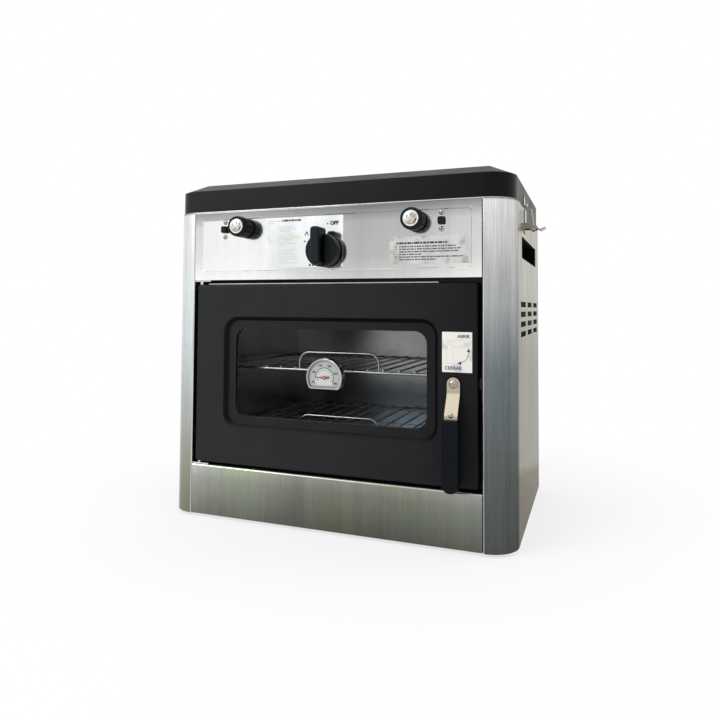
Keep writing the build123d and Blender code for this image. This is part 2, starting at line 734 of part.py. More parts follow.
# Lid hinges: leaves with rolled knuckles round a pin
hinge_y = back_y + HINGE_AXIS_BACK
hinge_z = seam_z + HINGE_AXIS_RISE
knuckle_third = HINGE_LEAF_WIDTH / 3
leaf_y = rear_face_y
with BuildPart() as lid_hinge_body_leaves:
    with BuildSketch(Plane.YZ.offset(LID_HINGE_SPREAD - HINGE_LEAF_WIDTH / 2)):
        with Locations((hinge_y, hinge_z)):
            RegularPolygon(HINGE_KNUCKLE_RADIUS, WIRE_SIDES, rotation=180 / WIRE_SIDES)
        rectangle_between(leaf_y, leaf_y + HINGE_LEAF_SHEET, hinge_z - HINGE_LEAF_DROP, rim_z - SHEET)
        with BuildLine():
            Polyline(
                (leaf_y, rim_z - 3 * SHEET),
                (leaf_y + HINGE_LEAF_SHEET, rim_z - 3 * SHEET),
                (hinge_y + HINGE_KNUCKLE_RADIUS / 2, hinge_z - HINGE_KNUCKLE_RADIUS / 2),
                (hinge_y - HINGE_KNUCKLE_RADIUS / 2, hinge_z - HINGE_KNUCKLE_RADIUS / 4),
                (leaf_y, rim_z - SHEET),
                close=True,
            )
        make_face()
    extrude(amount=HINGE_LEAF_WIDTH)
    with BuildSketch(Plane.YZ.offset(LID_HINGE_SPREAD - knuckle_third / 2 - KNUCKLE_GAP)):
        with Locations((hinge_y, hinge_z)):
            Circle(HINGE_KNUCKLE_RADIUS + 2 * KNUCKLE_GAP)
    extrude(amount=knuckle_third + 2 * KNUCKLE_GAP, mode=Mode.SUBTRACT)
    with BuildSketch(Plane.YZ.offset(LID_HINGE_SPREAD - HINGE_LEAF_WIDTH / 2)):
        with Locations((hinge_y, hinge_z)):
            Circle(HINGE_PIN_RADIUS)
    extrude(amount=HINGE_LEAF_WIDTH)
    mirror(about=Plane.YZ)
pieces["lid_hinge_body_leaves"] = lid_hinge_body_leaves

lid_back_y = back_y - LID_INSET
with BuildPart() as lid_hinge_leaves:
    with BuildSketch(Plane.YZ.offset(LID_HINGE_SPREAD - knuckle_third / 2)):
        with Locations((hinge_y, hinge_z)):
            RegularPolygon(HINGE_KNUCKLE_RADIUS, WIRE_SIDES, rotation=180 / WIRE_SIDES)
        with BuildLine():
            Polyline(
                (lid_back_y, hinge_z + HINGE_KNUCKLE_RADIUS / 2),
                (hinge_y, hinge_z),
                (hinge_y, hinge_z + HINGE_KNUCKLE_RADIUS),
                (lid_back_y + HINGE_LEAF_SHEET, hinge_z + 2 * HINGE_KNUCKLE_RADIUS),
                (lid_back_y, hinge_z + 2 * HINGE_KNUCKLE_RADIUS),
                close=True,
            )
        make_face()
    extrude(amount=knuckle_third)
    with BuildSketch(front_plane(lid_back_y)):
        with Locations((LID_HINGE_SPREAD, hinge_z + 1.5 * HINGE_KNUCKLE_RADIUS)):
            Rectangle(HINGE_LEAF_WIDTH, LID_SKIRT / 2, align=(Align.CENTER, Align.MIN))
    extrude(amount=-HINGE_LEAF_SHEET)
    with BuildSketch(Plane.YZ.offset(LID_HINGE_SPREAD - HINGE_LEAF_WIDTH / 2)):
        with Locations((hinge_y, hinge_z)):
            Circle(HINGE_PIN_RADIUS + HINGE_PIN_FIT)
    extrude(amount=HINGE_LEAF_WIDTH, mode=Mode.SUBTRACT)
    mirror(about=Plane.YZ)
pieces["lid_hinge_leaves"] = lid_hinge_leaves

# Oven liner: a box with its mouth and a front flange behind the door
cavity_z0 = base_z + CAVITY_FLOOR
cavity_z1 = base_z + CAVITY_TOP
flange_y = front_y + NICHE_DEPTH
cavity_back = back_y - CAVITY_REAR_MARGIN
sill_z = base_z + MOUTH_SILL
flange_half = seam_x + FLANGE_SIDE_OVERLAP
liner_half = CAVITY_HALF_WIDTH + LINER_SHEET
with BuildPart() as oven_liner:
    with BuildSketch(front_plane(flange_y)):
        rectangle_between(-flange_half, flange_half, base_z + FLANGE_BOTTOM, control_z + FLANGE_TOP_OVERLAP)
    extrude(amount=-LINER_SHEET)
    with BuildSketch(front_plane(flange_y)):
        rectangle_between(-CAVITY_HALF_WIDTH, CAVITY_HALF_WIDTH, cavity_z0, cavity_z1, LINER_BEND)
        offset(amount=LINER_SHEET)
    extrude(amount=-(cavity_back + LINER_SHEET - flange_y))
    with BuildSketch(front_plane(flange_y + LINER_SHEET)):
        rectangle_between(-CAVITY_HALF_WIDTH, CAVITY_HALF_WIDTH, cavity_z0, cavity_z1, LINER_BEND)
    extrude(amount=-(cavity_back - flange_y - LINER_SHEET), mode=Mode.SUBTRACT)
    with BuildSketch(front_plane(flange_y)):
        rectangle_between(-CAVITY_HALF_WIDTH, CAVITY_HALF_WIDTH, sill_z, cavity_z1, LINER_BEND)
    extrude(amount=-LINER_SHEET, mode=Mode.SUBTRACT)
    oven_burner_z = base_z + OVEN_BURNER_HEIGHT
    oven_burner_y = (flange_y + cavity_back) / 2
    with BuildSketch(Plane.YZ.offset(-CAVITY_HALF_WIDTH - 2 * LINER_SHEET)):
        with Locations((oven_burner_y, oven_burner_z)):
            Circle(OVEN_BURNER_RADIUS + WALL_FIT)
    extrude(amount=4 * LINER_SHEET, mode=Mode.SUBTRACT)
    with BuildSketch(Plane.XY.offset(cavity_z0 - LINER_SHEET)):
        with Locations((0, oven_burner_y)):
            with GridLocations(LINER_SLOT_PITCH, LINER_SLOT_SPREAD, 3, 2):
                Rectangle(LINER_SLOT_LENGTH, LINER_SLOT_WIDTH)
    extrude(amount=LINER_SHEET, mode=Mode.SUBTRACT)
pieces["oven_liner"] = oven_liner

# Floor plate over the oven burner, standing on its turned-down sides
plate_half = CAVITY_HALF_WIDTH - FLOOR_PLATE_GAP
plate_z = base_z + FLOOR_PLATE_HEIGHT
with BuildPart() as oven_floor_plate:
    with BuildSketch(front_plane(flange_y + LINER_SHEET + FLOOR_PLATE_GAP)):
        bent_strip(
            [
                (-plate_half, cavity_z0),
                (-plate_half, plate_z),
                (plate_half, plate_z),
                (plate_half, cavity_z0),
            ],
            SHEET_BEND,
            SHEET,
            Side.RIGHT,
        )
    extrude(amount=-(cavity_back - flange_y - LINER_SHEET - 2 * FLOOR_PLATE_GAP))
    with BuildSketch(Plane.XY.offset(plate_z)):
        with Locations((0, oven_burner_y)):
            with GridLocations(2 * (plate_half - FLOOR_SLOT_INSET), FLOOR_SLOT_PITCH, 2, FLOOR_SLOT_COUNT):
                Rectangle(FLOOR_SLOT_WIDTH, FLOOR_SLOT_LENGTH)
    extrude(amount=-SHEET, mode=Mode.SUBTRACT)
    with BuildSketch(Plane.YZ.offset(-plate_half)):
        with Locations((oven_burner_y, oven_burner_z)):
            Circle(OVEN_BURNER_RADIUS + WALL_FIT)
    extrude(amount=SHEET, mode=Mode.SUBTRACT)
pieces["oven_floor_plate"] = oven_floor_plate

# Oven burner tube on two feet
burner_inlet_x = -liner_half - OVEN_INLET_REACH
with BuildPart() as oven_burner:
    with BuildSketch(Plane.YZ.offset(burner_inlet_x)):
        with Locations((oven_burner_y, oven_burner_z)):
            Circle(OVEN_BURNER_RADIUS)
    extrude(amount=OVEN_BURNER_END - burner_inlet_x)
    with BuildSketch(Plane.YZ.offset(burner_inlet_x)):
        with Locations((oven_burner_y, oven_burner_z)):
            Circle(OVEN_BURNER_RADIUS - OVEN_BURNER_WALL)
    extrude(amount=OVEN_BURNER_END - burner_inlet_x - OVEN_BURNER_WALL, mode=Mode.SUBTRACT)
    with BuildSketch(Plane.XY.offset(oven_burner_z)):
        for side in (-1, 1):
            with Locations((0, oven_burner_y + side * OVEN_BURNER_RADIUS)):
                with GridLocations(OVEN_PORT_PITCH, 1, OVEN_PORT_COUNT, 1):
                    Rectangle(OVEN_PORT_LENGTH, 2 * OVEN_PORT_DEPTH)
    extrude(amount=OVEN_BURNER_RADIUS / 3, mode=Mode.SUBTRACT)
    with BuildSketch(Plane.XY.offset(cavity_z0)):
        for side, foot_inset in zip((-1, 1), OVEN_FOOT_INSETS):
            with Locations((side * (OVEN_BURNER_END - foot_inset), oven_burner_y)):
                Rectangle(OVEN_FOOT_SHEET, 2 * OVEN_BURNER_RADIUS)
    extrude(amount=oven_burner_z - cavity_z0 - OVEN_BURNER_RADIUS + OVEN_BURNER_WALL)
pieces["oven_burner"] = oven_burner

# Rack runners, two on each side wall
rack_back = cavity_back - RACK_REAR_GAP
runner_front = flange_y + LINER_SHEET + RUNNER_FRONT_GAP
rack_heights = {"upper": base_z + UPPER_RACK_HEIGHT, "lower": base_z + LOWER_RACK_HEIGHT}
with BuildPart() as rack_runners:
    for rack_z in rack_heights.values():
        ledge_z = rack_z - RACK_LIFT
        with BuildSketch(front_plane(runner_front)):
            bent_strip(
                [
                    (CAVITY_HALF_WIDTH, ledge_z - RUNNER_WIDTH),
                    (CAVITY_HALF_WIDTH, ledge_z),
                    (CAVITY_HALF_WIDTH - RUNNER_WIDTH, ledge_z),
                ],
                SHEET_BEND,
                RUNNER_SHEET,
                Side.LEFT,
            )
        extrude(amount=-(cavity_back - runner_front))
    mirror(about=Plane.YZ)
pieces["rack_runners"] = rack_runners

# Wire racks with a raised loop at the front
rack_half = CAVITY_HALF_WIDTH - RACK_SIDE_GAP
rack_front = flange_y + RACK_FRONT_MARGIN
wire_count = 2 * math.floor((rack_half - RACK_CORNER - RACK_PITCH / 2) / RACK_PITCH) + 1
for rack_name, rack_z in rack_heights.items():
    rail_z = rack_z + RACK_RAIL
    wire_z = rail_z + RACK_RAIL + RACK_WIRE - WELD_SINK
    with BuildPart() as rack:
        with BuildLine(Plane.XY.offset(rail_z)) as rack_frame:
            FilletPolyline(
                (rack_half, rack_front),
                (rack_half, rack_back),
                (-rack_half, rack_back),
                (-rack_half, rack_front),
                radius=RACK_CORNER,
                close=True,
            )
        wire_along(rack_frame.wire(), RACK_RAIL, (0, 0, 1))
        with BuildSketch(front_plane(rack_front - RACK_RAIL - RACK_END)):
            with Locations((0, wire_z)):
                with GridLocations(RACK_PITCH, 1, wire_count, 1):
                    RegularPolygon(RACK_WIRE, RACK_WIRE_SIDES)
        extrude(amount=-(rack_back - rack_front + 2 * RACK_RAIL + 2 * RACK_END))
        with BuildLine(front_plane(rack_front)) as loop_path:
            FilletPolyline(
                (-LOOP_HALF_WIDTH, rail_z),
                (-LOOP_HALF_WIDTH, rail_z + LOOP_HEIGHT),
                (LOOP_HALF_WIDTH, rail_z + LOOP_HEIGHT),
                (LOOP_HALF_WIDTH, rail_z),
                radius=LOOP_CORNER,
            )
        wire_along(loop_path.wire(), LOOP_WIRE, (0, 1, 0))
    pieces[f"rack_{rack_name}"] = rack

# Door outer pan with its recessed window
door_left = -seam_x + DOOR_GAP_LEFT
door_right = seam_x - DOOR_GAP_RIGHT
door_bottom = lower_z + DOOR_GAP_BOTTOM
door_top = control_z - DOOR_GAP_TOP
door_y = front_y + DOOR_RECESS
door_rear = door_y + DOOR_PAN_DEPTH
window_x0 = door_left + WINDOW_LEFT_MARGIN
window_x1 = door_right - WINDOW_RIGHT_MARGIN
window_z0 = door_bottom + WINDOW_BOTTOM_MARGIN
window_z1 = door_top - WINDOW_TOP_MARGIN
ring_y = door_y + WINDOW_RECESS
glass_y = ring_y + SHEET
glass_back = glass_y + GLASS_THICKNESS
handle_x = door_right - HANDLE_SIDE_MARGIN
handle_z = base_z + HANDLE_HEIGHT
axis_x = door_left + DOOR_AXIS_INSET
axis_y = front_y + DOOR_AXIS_DEPTH
tongue_reach = seam_x - KEEPER_SHEET - TONGUE_CLEARANCE - handle_x
tongue_back = door_rear - TONGUE_PAN_GAP
tongue_y = tongue_back - TONGUE_SHEET


def window_outline(inset, radius):
    """Outline of the window, drawn in from the outer edge of its recess."""
    rectangle_between(window_x0 + inset, window_x1 - inset, window_z0 + inset, window_z1 - inset, radius)


def press(depth, spread, mode=Mode.ADD):
    """Drive the sketch back by a depth, or forward by a negative one, while its outline spreads."""
    extrude(amount=-depth, taper=-math.degrees(math.atan(spread / abs(depth))), mode=mode)


opening_inset = WINDOW_SLOPE + WINDOW_RING
opening_radius = WINDOW_CORNER - WINDOW_SLOPE
with BuildPart() as door_outer:
    with BuildSketch(front_plane(door_rear)):
        rectangle_between(door_left, door_right, door_bottom, door_top, DOOR_CORNER)
    extrude(amount=DOOR_PAN_DEPTH)
    fillet(door_outer.edges().group_by(Axis.Y)[0], radius=DOOR_BEND)
    with BuildSketch(front_plane(door_rear)):
        rectangle_between(
            door_left + SHEET, door_right - SHEET, door_bottom + SHEET, door_top - SHEET, DOOR_CORNER - SHEET
        )
    extrude(amount=DOOR_PAN_DEPTH - SHEET, mode=Mode.SUBTRACT)
    with BuildSketch(front_plane(door_y + SHEET / 2)):
        window_outline(-SHEET, WINDOW_CORNER + SHEET)
    press(glass_y - door_y - SHEET / 2, -WINDOW_SLOPE)
    with BuildSketch(front_plane(door_y)):
        window_outline(0.0, WINDOW_CORNER)
    press(WINDOW_RECESS, -WINDOW_SLOPE, Mode.SUBTRACT)
    with BuildSketch(front_plane(glass_y)):
        window_outline(opening_inset, opening_radius)
    extrude(amount=SHEET, mode=Mode.SUBTRACT)
    with BuildSketch(front_plane(door_y)):
        with Locations((handle_x, handle_z)):
            Circle(SHAFT_RADIUS + SHAFT_FIT)
    extrude(amount=-SHEET, mode=Mode.SUBTRACT)
    slot_half = TONGUE_WIDTH / 2 + TONGUE_SLOT_GAP
    tongue_sweep = math.hypot(tongue_reach, TONGUE_WIDTH / 2)
    slot_top = math.sqrt(tongue_sweep**2 - (door_right - SHEET - handle_x) ** 2) + TONGUE_SLOT_RISE
    with BuildSketch(Plane.YZ.offset(door_right)):
        rectangle_between(
            tongue_y - TONGUE_SIDE_GAP,
            tongue_back + TONGUE_SIDE_GAP,
            handle_z - slot_half,
            handle_z + slot_top,
        )
    extrude(amount=-SHEET, mode=Mode.SUBTRACT)
    with BuildSketch(Plane.XY.offset(door_top)):
        with Locations((axis_x, axis_y)):
            Circle(DOOR_PIN_RADIUS + DOOR_PIN_FIT)
    extrude(amount=-(door_top - door_bottom), mode=Mode.SUBTRACT)
pieces["door_outer"] = door_outer

# Door glass
glass_inset = opening_inset - GLASS_OVERLAP
dial_x = (window_x0 + window_x1) / 2 + DIAL_CENTRE_SHIFT
dial_z = (window_z0 + window_z1) / 2 - DIAL_CENTRE_DROP
with BuildPart() as door_glass:
    with BuildSketch(front_plane(glass_back)):
        window_outline(glass_inset, opening_radius)
        with Locations((dial_x, dial_z)):
            Circle(STEM_RADIUS + WALL_FIT, mode=Mode.SUBTRACT)
    extrude(amount=GLASS_THICKNESS)
pieces["door_glass"] = door_glass

# Door inner pan, pressed forward to clamp the glass
with BuildPart() as door_inner:
    with BuildSketch(front_plane(door_rear + SHEET)):
        rectangle_between(door_left, door_right, door_bottom, door_top, DOOR_CORNER)
    extrude(amount=SHEET)
    with BuildSketch(front_plane(door_rear + SHEET / 2)):
        window_outline(opening_inset - 2 * INNER_CUP_RUN - SHEET, opening_radius + INNER_CUP_RUN)
    press(glass_back - door_rear - SHEET / 2, -INNER_CUP_RUN)
    with BuildSketch(front_plane(door_rear + SHEET)):
        window_outline(opening_inset - 2 * INNER_CUP_RUN, opening_radius + INNER_CUP_RUN - SHEET)
    press(glass_back - door_rear, -INNER_CUP_RUN, Mode.SUBTRACT)
    with BuildSketch(front_plane(glass_back + SHEET)):
        window_outline(opening_inset, opening_radius)
    extrude(amount=SHEET, mode=Mode.SUBTRACT)
    with BuildSketch(Plane.XY.offset(door_top)):
        rectangle_between(
            door_left + HEM_LEFT_MARGIN,
            door_right - HEM_RIGHT_MARGIN,
            door_y + HEM_FRONT_GAP,
            door_rear + SHEET,
        )
    extrude(amount=SHEET)
pieces["door_inner"] = door_inner

# Door gasket round the mouth of the oven
with BuildPart() as door_gasket:
    with BuildSketch(front_plane(door_rear + SHEET)):
        rectangle_between(
            door_left + GASKET_MARGIN,
            door_right - GASKET_MARGIN,
            door_bottom + GASKET_MARGIN,
            door_top - GASKET_MARGIN,
            GASKET_WIDTH,
        )
        offset(amount=-GASKET_WIDTH, mode=Mode.SUBTRACT)
    extrude(amount=-GASKET_HEIGHT)
    chamfer(door_gasket.edges().group_by(Axis.Y)[-1], length=GASKET_WIDTH / 4)
pieces["door_gasket"] = door_gasket

# Hinge brackets with their pins, above and below the door
with BuildPart() as door_hinge_brackets:
    with BuildSketch(Plane.XY.offset(control_z)):
        rectangle_between(-seam_x, -seam_x + BRACKET_LENGTH, axis_y - BRACKET_REACH, flange_y)
    extrude(amount=-BRACKET_SHEET)
    with BuildSketch(Plane.XY.offset(lower_z)):
        rectangle_between(-seam_x, -seam_x + BRACKET_LENGTH, axis_y - BRACKET_REACH, flange_y)
    extrude(amount=BRACKET_SHEET)
    with BuildSketch(Plane.XY.offset(control_z - BRACKET_SHEET)):
        with Locations((axis_x, axis_y)):
            Circle(DOOR_PIN_RADIUS)
    extrude(amount=-(DOOR_GAP_TOP - BRACKET_SHEET + DOOR_PIN_REACH))
    with BuildSketch(Plane.XY.offset(lower_z + BRACKET_SHEET)):
        with Locations((axis_x, axis_y)):
            Circle(DOOR_PIN_RADIUS)
    extrude(amount=DOOR_GAP_BOTTOM - BRACKET_SHEET + DOOR_PIN_REACH)
pieces["door_hinge_brackets"] = door_hinge_brackets

# Keeper on the right-hand return of the casing
keeper_y = tongue_y - KEEPER_GAP
with BuildPart() as door_keeper:
    with BuildSketch(Plane.XY.offset(handle_z - KEEPER_HEIGHT / 2)):
        rectangle_between(seam_x - KEEPER_SHEET, seam_x, keeper_y, flange_y)
        rectangle_between(seam_x - KEEPER_SHEET - KEEPER_LIP, seam_x, keeper_y - KEEPER_SHEET, keeper_y)
    extrude(amount=KEEPER_HEIGHT)
pieces["door_keeper"] = door_keeper


# Door thermometer: D-shaped case, dial plate and pointer
def dial_outline(inset):
    """Circle with a flat below its centre, drawn in from the rim of the case."""
    with BuildSketch(mode=Mode.PRIVATE) as outline:
        Circle(DIAL_RADIUS - inset)
        with Locations((0, -DIAL_FLAT_DROP + inset)):
            Rectangle(3 * DIAL_RADIUS, DIAL_RADIUS, align=(Align.CENTER, Align.MAX), mode=Mode.SUBTRACT)
        fillet(outline.vertices(), radius=CASE_CORNER - inset / 2)
    with Locations((dial_x, dial_z)):
        add(outline.sketch)


case_y = front_y - CASE_FRONT
dial_y = case_y + CASE_FACE_DEPTH
with BuildPart() as thermometer_case:
    with BuildSketch(front_plane(glass_y)):
        dial_outline(0.0)
    extrude(amount=glass_y - case_y)
    chamfer(thermometer_case.edges().group_by(Axis.Y)[0], length=CASE_WALL / 3)
    with BuildSketch(front_plane(case_y)):
        dial_outline(CASE_WALL)
    extrude(amount=-(CASE_FACE_DEPTH + POINTER_SHEET), mode=Mode.SUBTRACT)
    with BuildSketch(front_plane(glass_y)):
        with Locations((dial_x, dial_z)):
            Circle(STEM_RADIUS)
    extrude(amount=-(GLASS_THICKNESS + STEM_LENGTH))
    with BuildSketch(front_plane(glass_back)):
        with Locations((dial_x, dial_z)):
            RegularPolygon(NUT_RADIUS, 6)
    extrude(amount=-NUT_HEIGHT)
pieces["thermometer_case"] = thermometer_case

with BuildPart() as thermometer_dial:
    with BuildSketch(front_plane(dial_y + POINTER_SHEET)):
        dial_outline(CASE_WALL + WALL_FIT)
    extrude(amount=POINTER_SHEET)
    with BuildSketch(front_plane(dial_y)):
        with Locations((dial_x, dial_z)):
            Circle(POINTER_PIN_RADIUS)
    extrude(amount=POINTER_PIN_LENGTH)
pieces["thermometer_dial"] = thermometer_dial

pointer_y = dial_y - POINTER_GAP
with BuildPart() as thermometer_pointer:
    with BuildSketch(front_plane(pointer_y)):
        with BuildLine():
            Polyline(
                (dial_x - POINTER_LENGTH, dial_z),
                (dial_x, dial_z - POINTER_WIDTH / 2),
                (dial_x + POINTER_TAIL, dial_z - POINTER_WIDTH / 3),
                (dial_x + POINTER_TAIL, dial_z + POINTER_WIDTH / 3),
                (dial_x, dial_z + POINTER_WIDTH / 2),
                close=True,
            )
        make_face()
        with Locations((dial_x, dial_z)):
            Circle(POINTER_WIDTH)
            Circle(POINTER_PIN_RADIUS + POINTER_FIT, mode=Mode.SUBTRACT)
    extrude(amount=POINTER_SHEET)
pieces["thermometer_pointer"] = thermometer_pointer

# Handle arm, bent out over the grip
arm_y = front_y - ARM_FRONT
arm_top = handle_z + ARM_WIDTH / 2
step_z = handle_z - ARM_STEP_TOP
step_end_z = handle_z - ARM_STEP_DROP
grip_top = handle_z - GRIP_TOP_DROP
grip_back = arm_y - ARM_STEP + GRIP_THICKNESS / 2
with BuildPart() as handle_arm:
    with BuildSketch(Plane.YZ.offset(handle_x - ARM_WIDTH / 2)):
        bent_strip(
            [
                (arm_y, arm_top),
                (arm_y, step_z),
                (arm_y - ARM_STEP, step_end_z),
                (arm_y - ARM_STEP, grip_top - GRIP_POCKET),
            ],
            ARM_BEND,
            ARM_SHEET,
            Side.LEFT,
        )
    extrude(amount=ARM_WIDTH)
    with BuildSketch(front_plane(arm_y + ARM_STEP)):
        rectangle_between(
            handle_x - ARM_WIDTH / 2, handle_x + ARM_WIDTH / 2, grip_top - GRIP_POCKET, handle_z
        )
        with Locations((handle_x, handle_z)):
            Circle(ARM_WIDTH / 2)
    extrude(amount=3 * ARM_STEP, mode=Mode.INTERSECT)
    with BuildSketch(front_plane(arm_y + ARM_SHEET)):
        with Locations((handle_x, handle_z)):
            Circle(SHAFT_RADIUS + SHAFT_FIT)
    extrude(amount=2 * ARM_SHEET, mode=Mode.SUBTRACT)
pieces["handle_arm"] = handle_arm

with BuildPart() as handle_grip:
    with BuildSketch(front_plane(grip_back)) as grip_face:
        rectangle_between(
            handle_x - GRIP_WIDTH / 2, handle_x + GRIP_WIDTH / 2, grip_top - GRIP_LENGTH, grip_top
        )
        fillet(grip_face.vertices().group_by(Axis.Y)[-1], radius=GRIP_CORNER)
        fillet(grip_face.vertices().group_by(Axis.Y)[0], radius=GRIP_WIDTH / 2 - GRIP_TIP_FLAT)
    extrude(amount=GRIP_THICKNESS)
    chamfer(handle_grip.edges().group_by(Axis.Y)[0], length=GRIP_CHAMFER)
    with BuildSketch(Plane.XY.offset(grip_top)):
        rectangle_between(
            handle_x - ARM_WIDTH / 2 - GRIP_FIT,
            handle_x + ARM_WIDTH / 2 + GRIP_FIT,
            arm_y - ARM_STEP - GRIP_FIT,
            arm_y - ARM_STEP + ARM_SHEET + GRIP_FIT,
        )
    extrude(amount=-(GRIP_POCKET + GRIP_FIT), mode=Mode.SUBTRACT)
pieces["handle_grip"] = handle_grip

with BuildPart() as handle_fasteners:
    with BuildSketch(front_plane(arm_y)):
        with Locations((handle_x, handle_z)):
            Circle(BOLT_HEAD_RADIUS)
    extrude(amount=BOLT_HEAD_HEIGHT)
    chamfer(handle_fasteners.edges().group_by(Axis.Y)[0], length=BOLT_HEAD_HEIGHT / 2)
    with BuildSketch(front_plane(arm_y + ARM_SHEET)):
        with Locations((handle_x, handle_z)):
            Circle(SHAFT_COLLAR_RADIUS)
    extrude(amount=-(door_y - WALL_FIT - arm_y - ARM_SHEET))
    with BuildSketch(front_plane(arm_y)):
        with Locations((handle_x, handle_z)):
            Circle(SHAFT_RADIUS)
    extrude(amount=-(tongue_back + SHAFT_TAIL - arm_y))
pieces["handle_fasteners"] = handle_fasteners

with BuildPart() as latch_tongue:
    with BuildSketch(front_plane(tongue_back)):
        with Locations((handle_x, handle_z)):
            Rectangle(tongue_reach, TONGUE_WIDTH, align=(Align.MIN, Align.CENTER))
            RegularPolygon(TONGUE_WIDTH / 2 + TONGUE_SIDE_GAP, WIRE_SIDES)
            Circle(SHAFT_RADIUS + SHAFT_FIT, mode=Mode.SUBTRACT)
    extrude(amount=TONGUE_SHEET)
pieces["latch_tongue"] = latch_tongue


# Valves, plugs, spindles and knobs
def build_valve(x, z, neck_z):
    """Valve at one spindle, with a neck that meets the manifold."""
    with BuildPart() as valve:
        with BuildSketch(front_plane(front_y + VALVE_FRONT)):
            with Locations((x, z)):
                Circle(VALVE_RADIUS)
        extrude(amount=-(VALVE_BACK - VALVE_FRONT))
        with BuildSketch(Plane.XY.offset(neck_z)):
            with Locations((x, front_y + MANIFOLD_DEPTH)):
                RegularPolygon(BOSS_RADIUS, WIRE_SIDES)
        extrude(amount=z - neck_z)
        with BuildSketch(front_plane(front_y + VALVE_BACK)):
            with Locations((x, z)):
                RegularPolygon(JET_RADIUS, WIRE_SIDES)
        extrude(amount=-JET_LENGTH)
        with BuildSketch(front_plane(front_y + VALVE_FRONT + VALVE_FACE_WALL)):
            with Locations((x, z)):
                Circle(PLUG_RADIUS + PLUG_FIT)
        extrude(amount=-(PLUG_BACK - VALVE_FRONT - VALVE_FACE_WALL + WALL_FIT), mode=Mode.SUBTRACT)
        with BuildSketch(front_plane(front_y + VALVE_FRONT)):
            with Locations((x, z)):
                Circle(SPINDLE_RADIUS + SPINDLE_FIT)
        extrude(amount=-VALVE_FACE_WALL, mode=Mode.SUBTRACT)
    return valve.part


def build_plug(x, z):
    """Turning plug inside a valve, bored for the sliding spindle."""
    with BuildPart() as plug:
        with BuildSketch(front_plane(front_y + PLUG_FRONT)):
            with Locations((x, z)):
                Circle(PLUG_RADIUS)
                Circle(SPINDLE_RADIUS + SPINDLE_FIT, mode=Mode.SUBTRACT)
        extrude(amount=-(PLUG_BACK - PLUG_FRONT))
    return plug


def build_spindle(x, z, front):
    """Spindle from inside a knob to its plug."""
    with BuildPart() as spindle:
        with BuildSketch(front_plane(front)):
            with Locations((x, z)):
                Circle(SPINDLE_RADIUS)
        extrude(amount=-(front_y + SPINDLE_BACK - front))
    return spindle


burner_neck_z = manifold_z + MANIFOLD_RADIUS + BOSS_HEIGHT
oven_neck_z = manifold_z - MANIFOLD_RADIUS - BOSS_HEIGHT
with BuildPart() as burner_valves:
    add(build_valve(knob_x, knob_z, burner_neck_z))
    mirror(about=Plane.YZ)
pieces["burner_valves"] = burner_valves

with BuildPart() as oven_valve:
    add(build_valve(0, oven_knob_z, oven_neck_z))
pieces["oven_valve"] = oven_valve

knob_back = front_y - KNOB_TRAVEL - KNOB_STOP_GAP
burner_face = front_y - BURNER_KNOB_FACE
for side_name, side in (("left", -1), ("right", 1)):
    x = side * knob_x
    with BuildPart() as knob:
        with BuildSketch(front_plane(knob_back)):
            with Locations((x, knob_z)):
                Circle(BURNER_KNOB_RADIUS)
                with PolarLocations(BURNER_KNOB_RADIUS, BURNER_KNOB_FLUTES):
                    RegularPolygon(KNOB_FLUTE, 4, mode=Mode.SUBTRACT)
        extrude(amount=knob_back - burner_face - KNOB_CROWN)
        with BuildSketch(front_plane(burner_face + KNOB_CROWN)):
            with Locations((x, knob_z)):
                Circle(BURNER_KNOB_RADIUS - KNOB_FLUTE / 2)
        extrude(amount=KNOB_CROWN)
        chamfer(knob.edges().group_by(Axis.Y)[0], length=KNOB_CHAMFER)
        with BuildSketch(front_plane(burner_face)):
            with Locations((x, knob_z)):
                Circle(KNOB_INSERT_RADIUS)
        extrude(amount=-KNOB_INSERT_DEPTH, mode=Mode.SUBTRACT)
        with BuildSketch(front_plane(knob_back)):
            with Locations((x, knob_z)):
                Circle(SPINDLE_RADIUS + SPINDLE_FIT)
        extrude(amount=KNOB_SOCKET, mode=Mode.SUBTRACT)
    pieces[f"knob_{side_name}"] = knob
    pieces[f"spindle_{side_name}"] = build_spindle(x, knob_z, knob_back - KNOB_SOCKET + SPINDLE_END_GAP)
    pieces[f"valve_plug_{side_name}"] = build_plug(x, knob_z)

oven_skirt = front_y - OVEN_KNOB_SKIRT
oven_face = front_y - OVEN_KNOB_FACE
with BuildPart() as knob_oven:
    with BuildSketch(front_plane(knob_back)):
        with Locations((0, oven_knob_z)):
            Circle(OVEN_KNOB_RADIUS)
    extrude(amount=knob_back - oven_skirt)
    chamfer(knob_oven.edges().group_by(Axis.Y)[0], length=OVEN_KNOB_CHAMFER)
    with BuildSketch(front_plane(oven_skirt + OVEN_BAR_SINK)):
        rectangle_between(
            -OVEN_BAR_WIDTH / 2,
            OVEN_BAR_WIDTH / 2,
            oven_knob_z - OVEN_BAR_BOTTOM,
            oven_knob_z + OVEN_BAR_TOP,
            OVEN_BAR_CORNER,
        )
    extrude(amount=oven_skirt + OVEN_BAR_SINK - oven_face)
    chamfer(knob_oven.edges().group_by(Axis.Y)[0], length=OVEN_KNOB_CHAMFER)
    with BuildSketch(front_plane(knob_back)):
        with Locations((0, oven_knob_z)):
            Circle(SPINDLE_RADIUS + SPINDLE_FIT)
    extrude(amount=OVEN_KNOB_SOCKET, mode=Mode.SUBTRACT)
pieces["knob_oven"] = knob_oven
pieces["spindle_oven"] = build_spindle(0, oven_knob_z, knob_back - OVEN_KNOB_SOCKET + SPINDLE_END_GAP)
pieces["valve_plug_oven"] = build_plug(0, oven_knob_z)

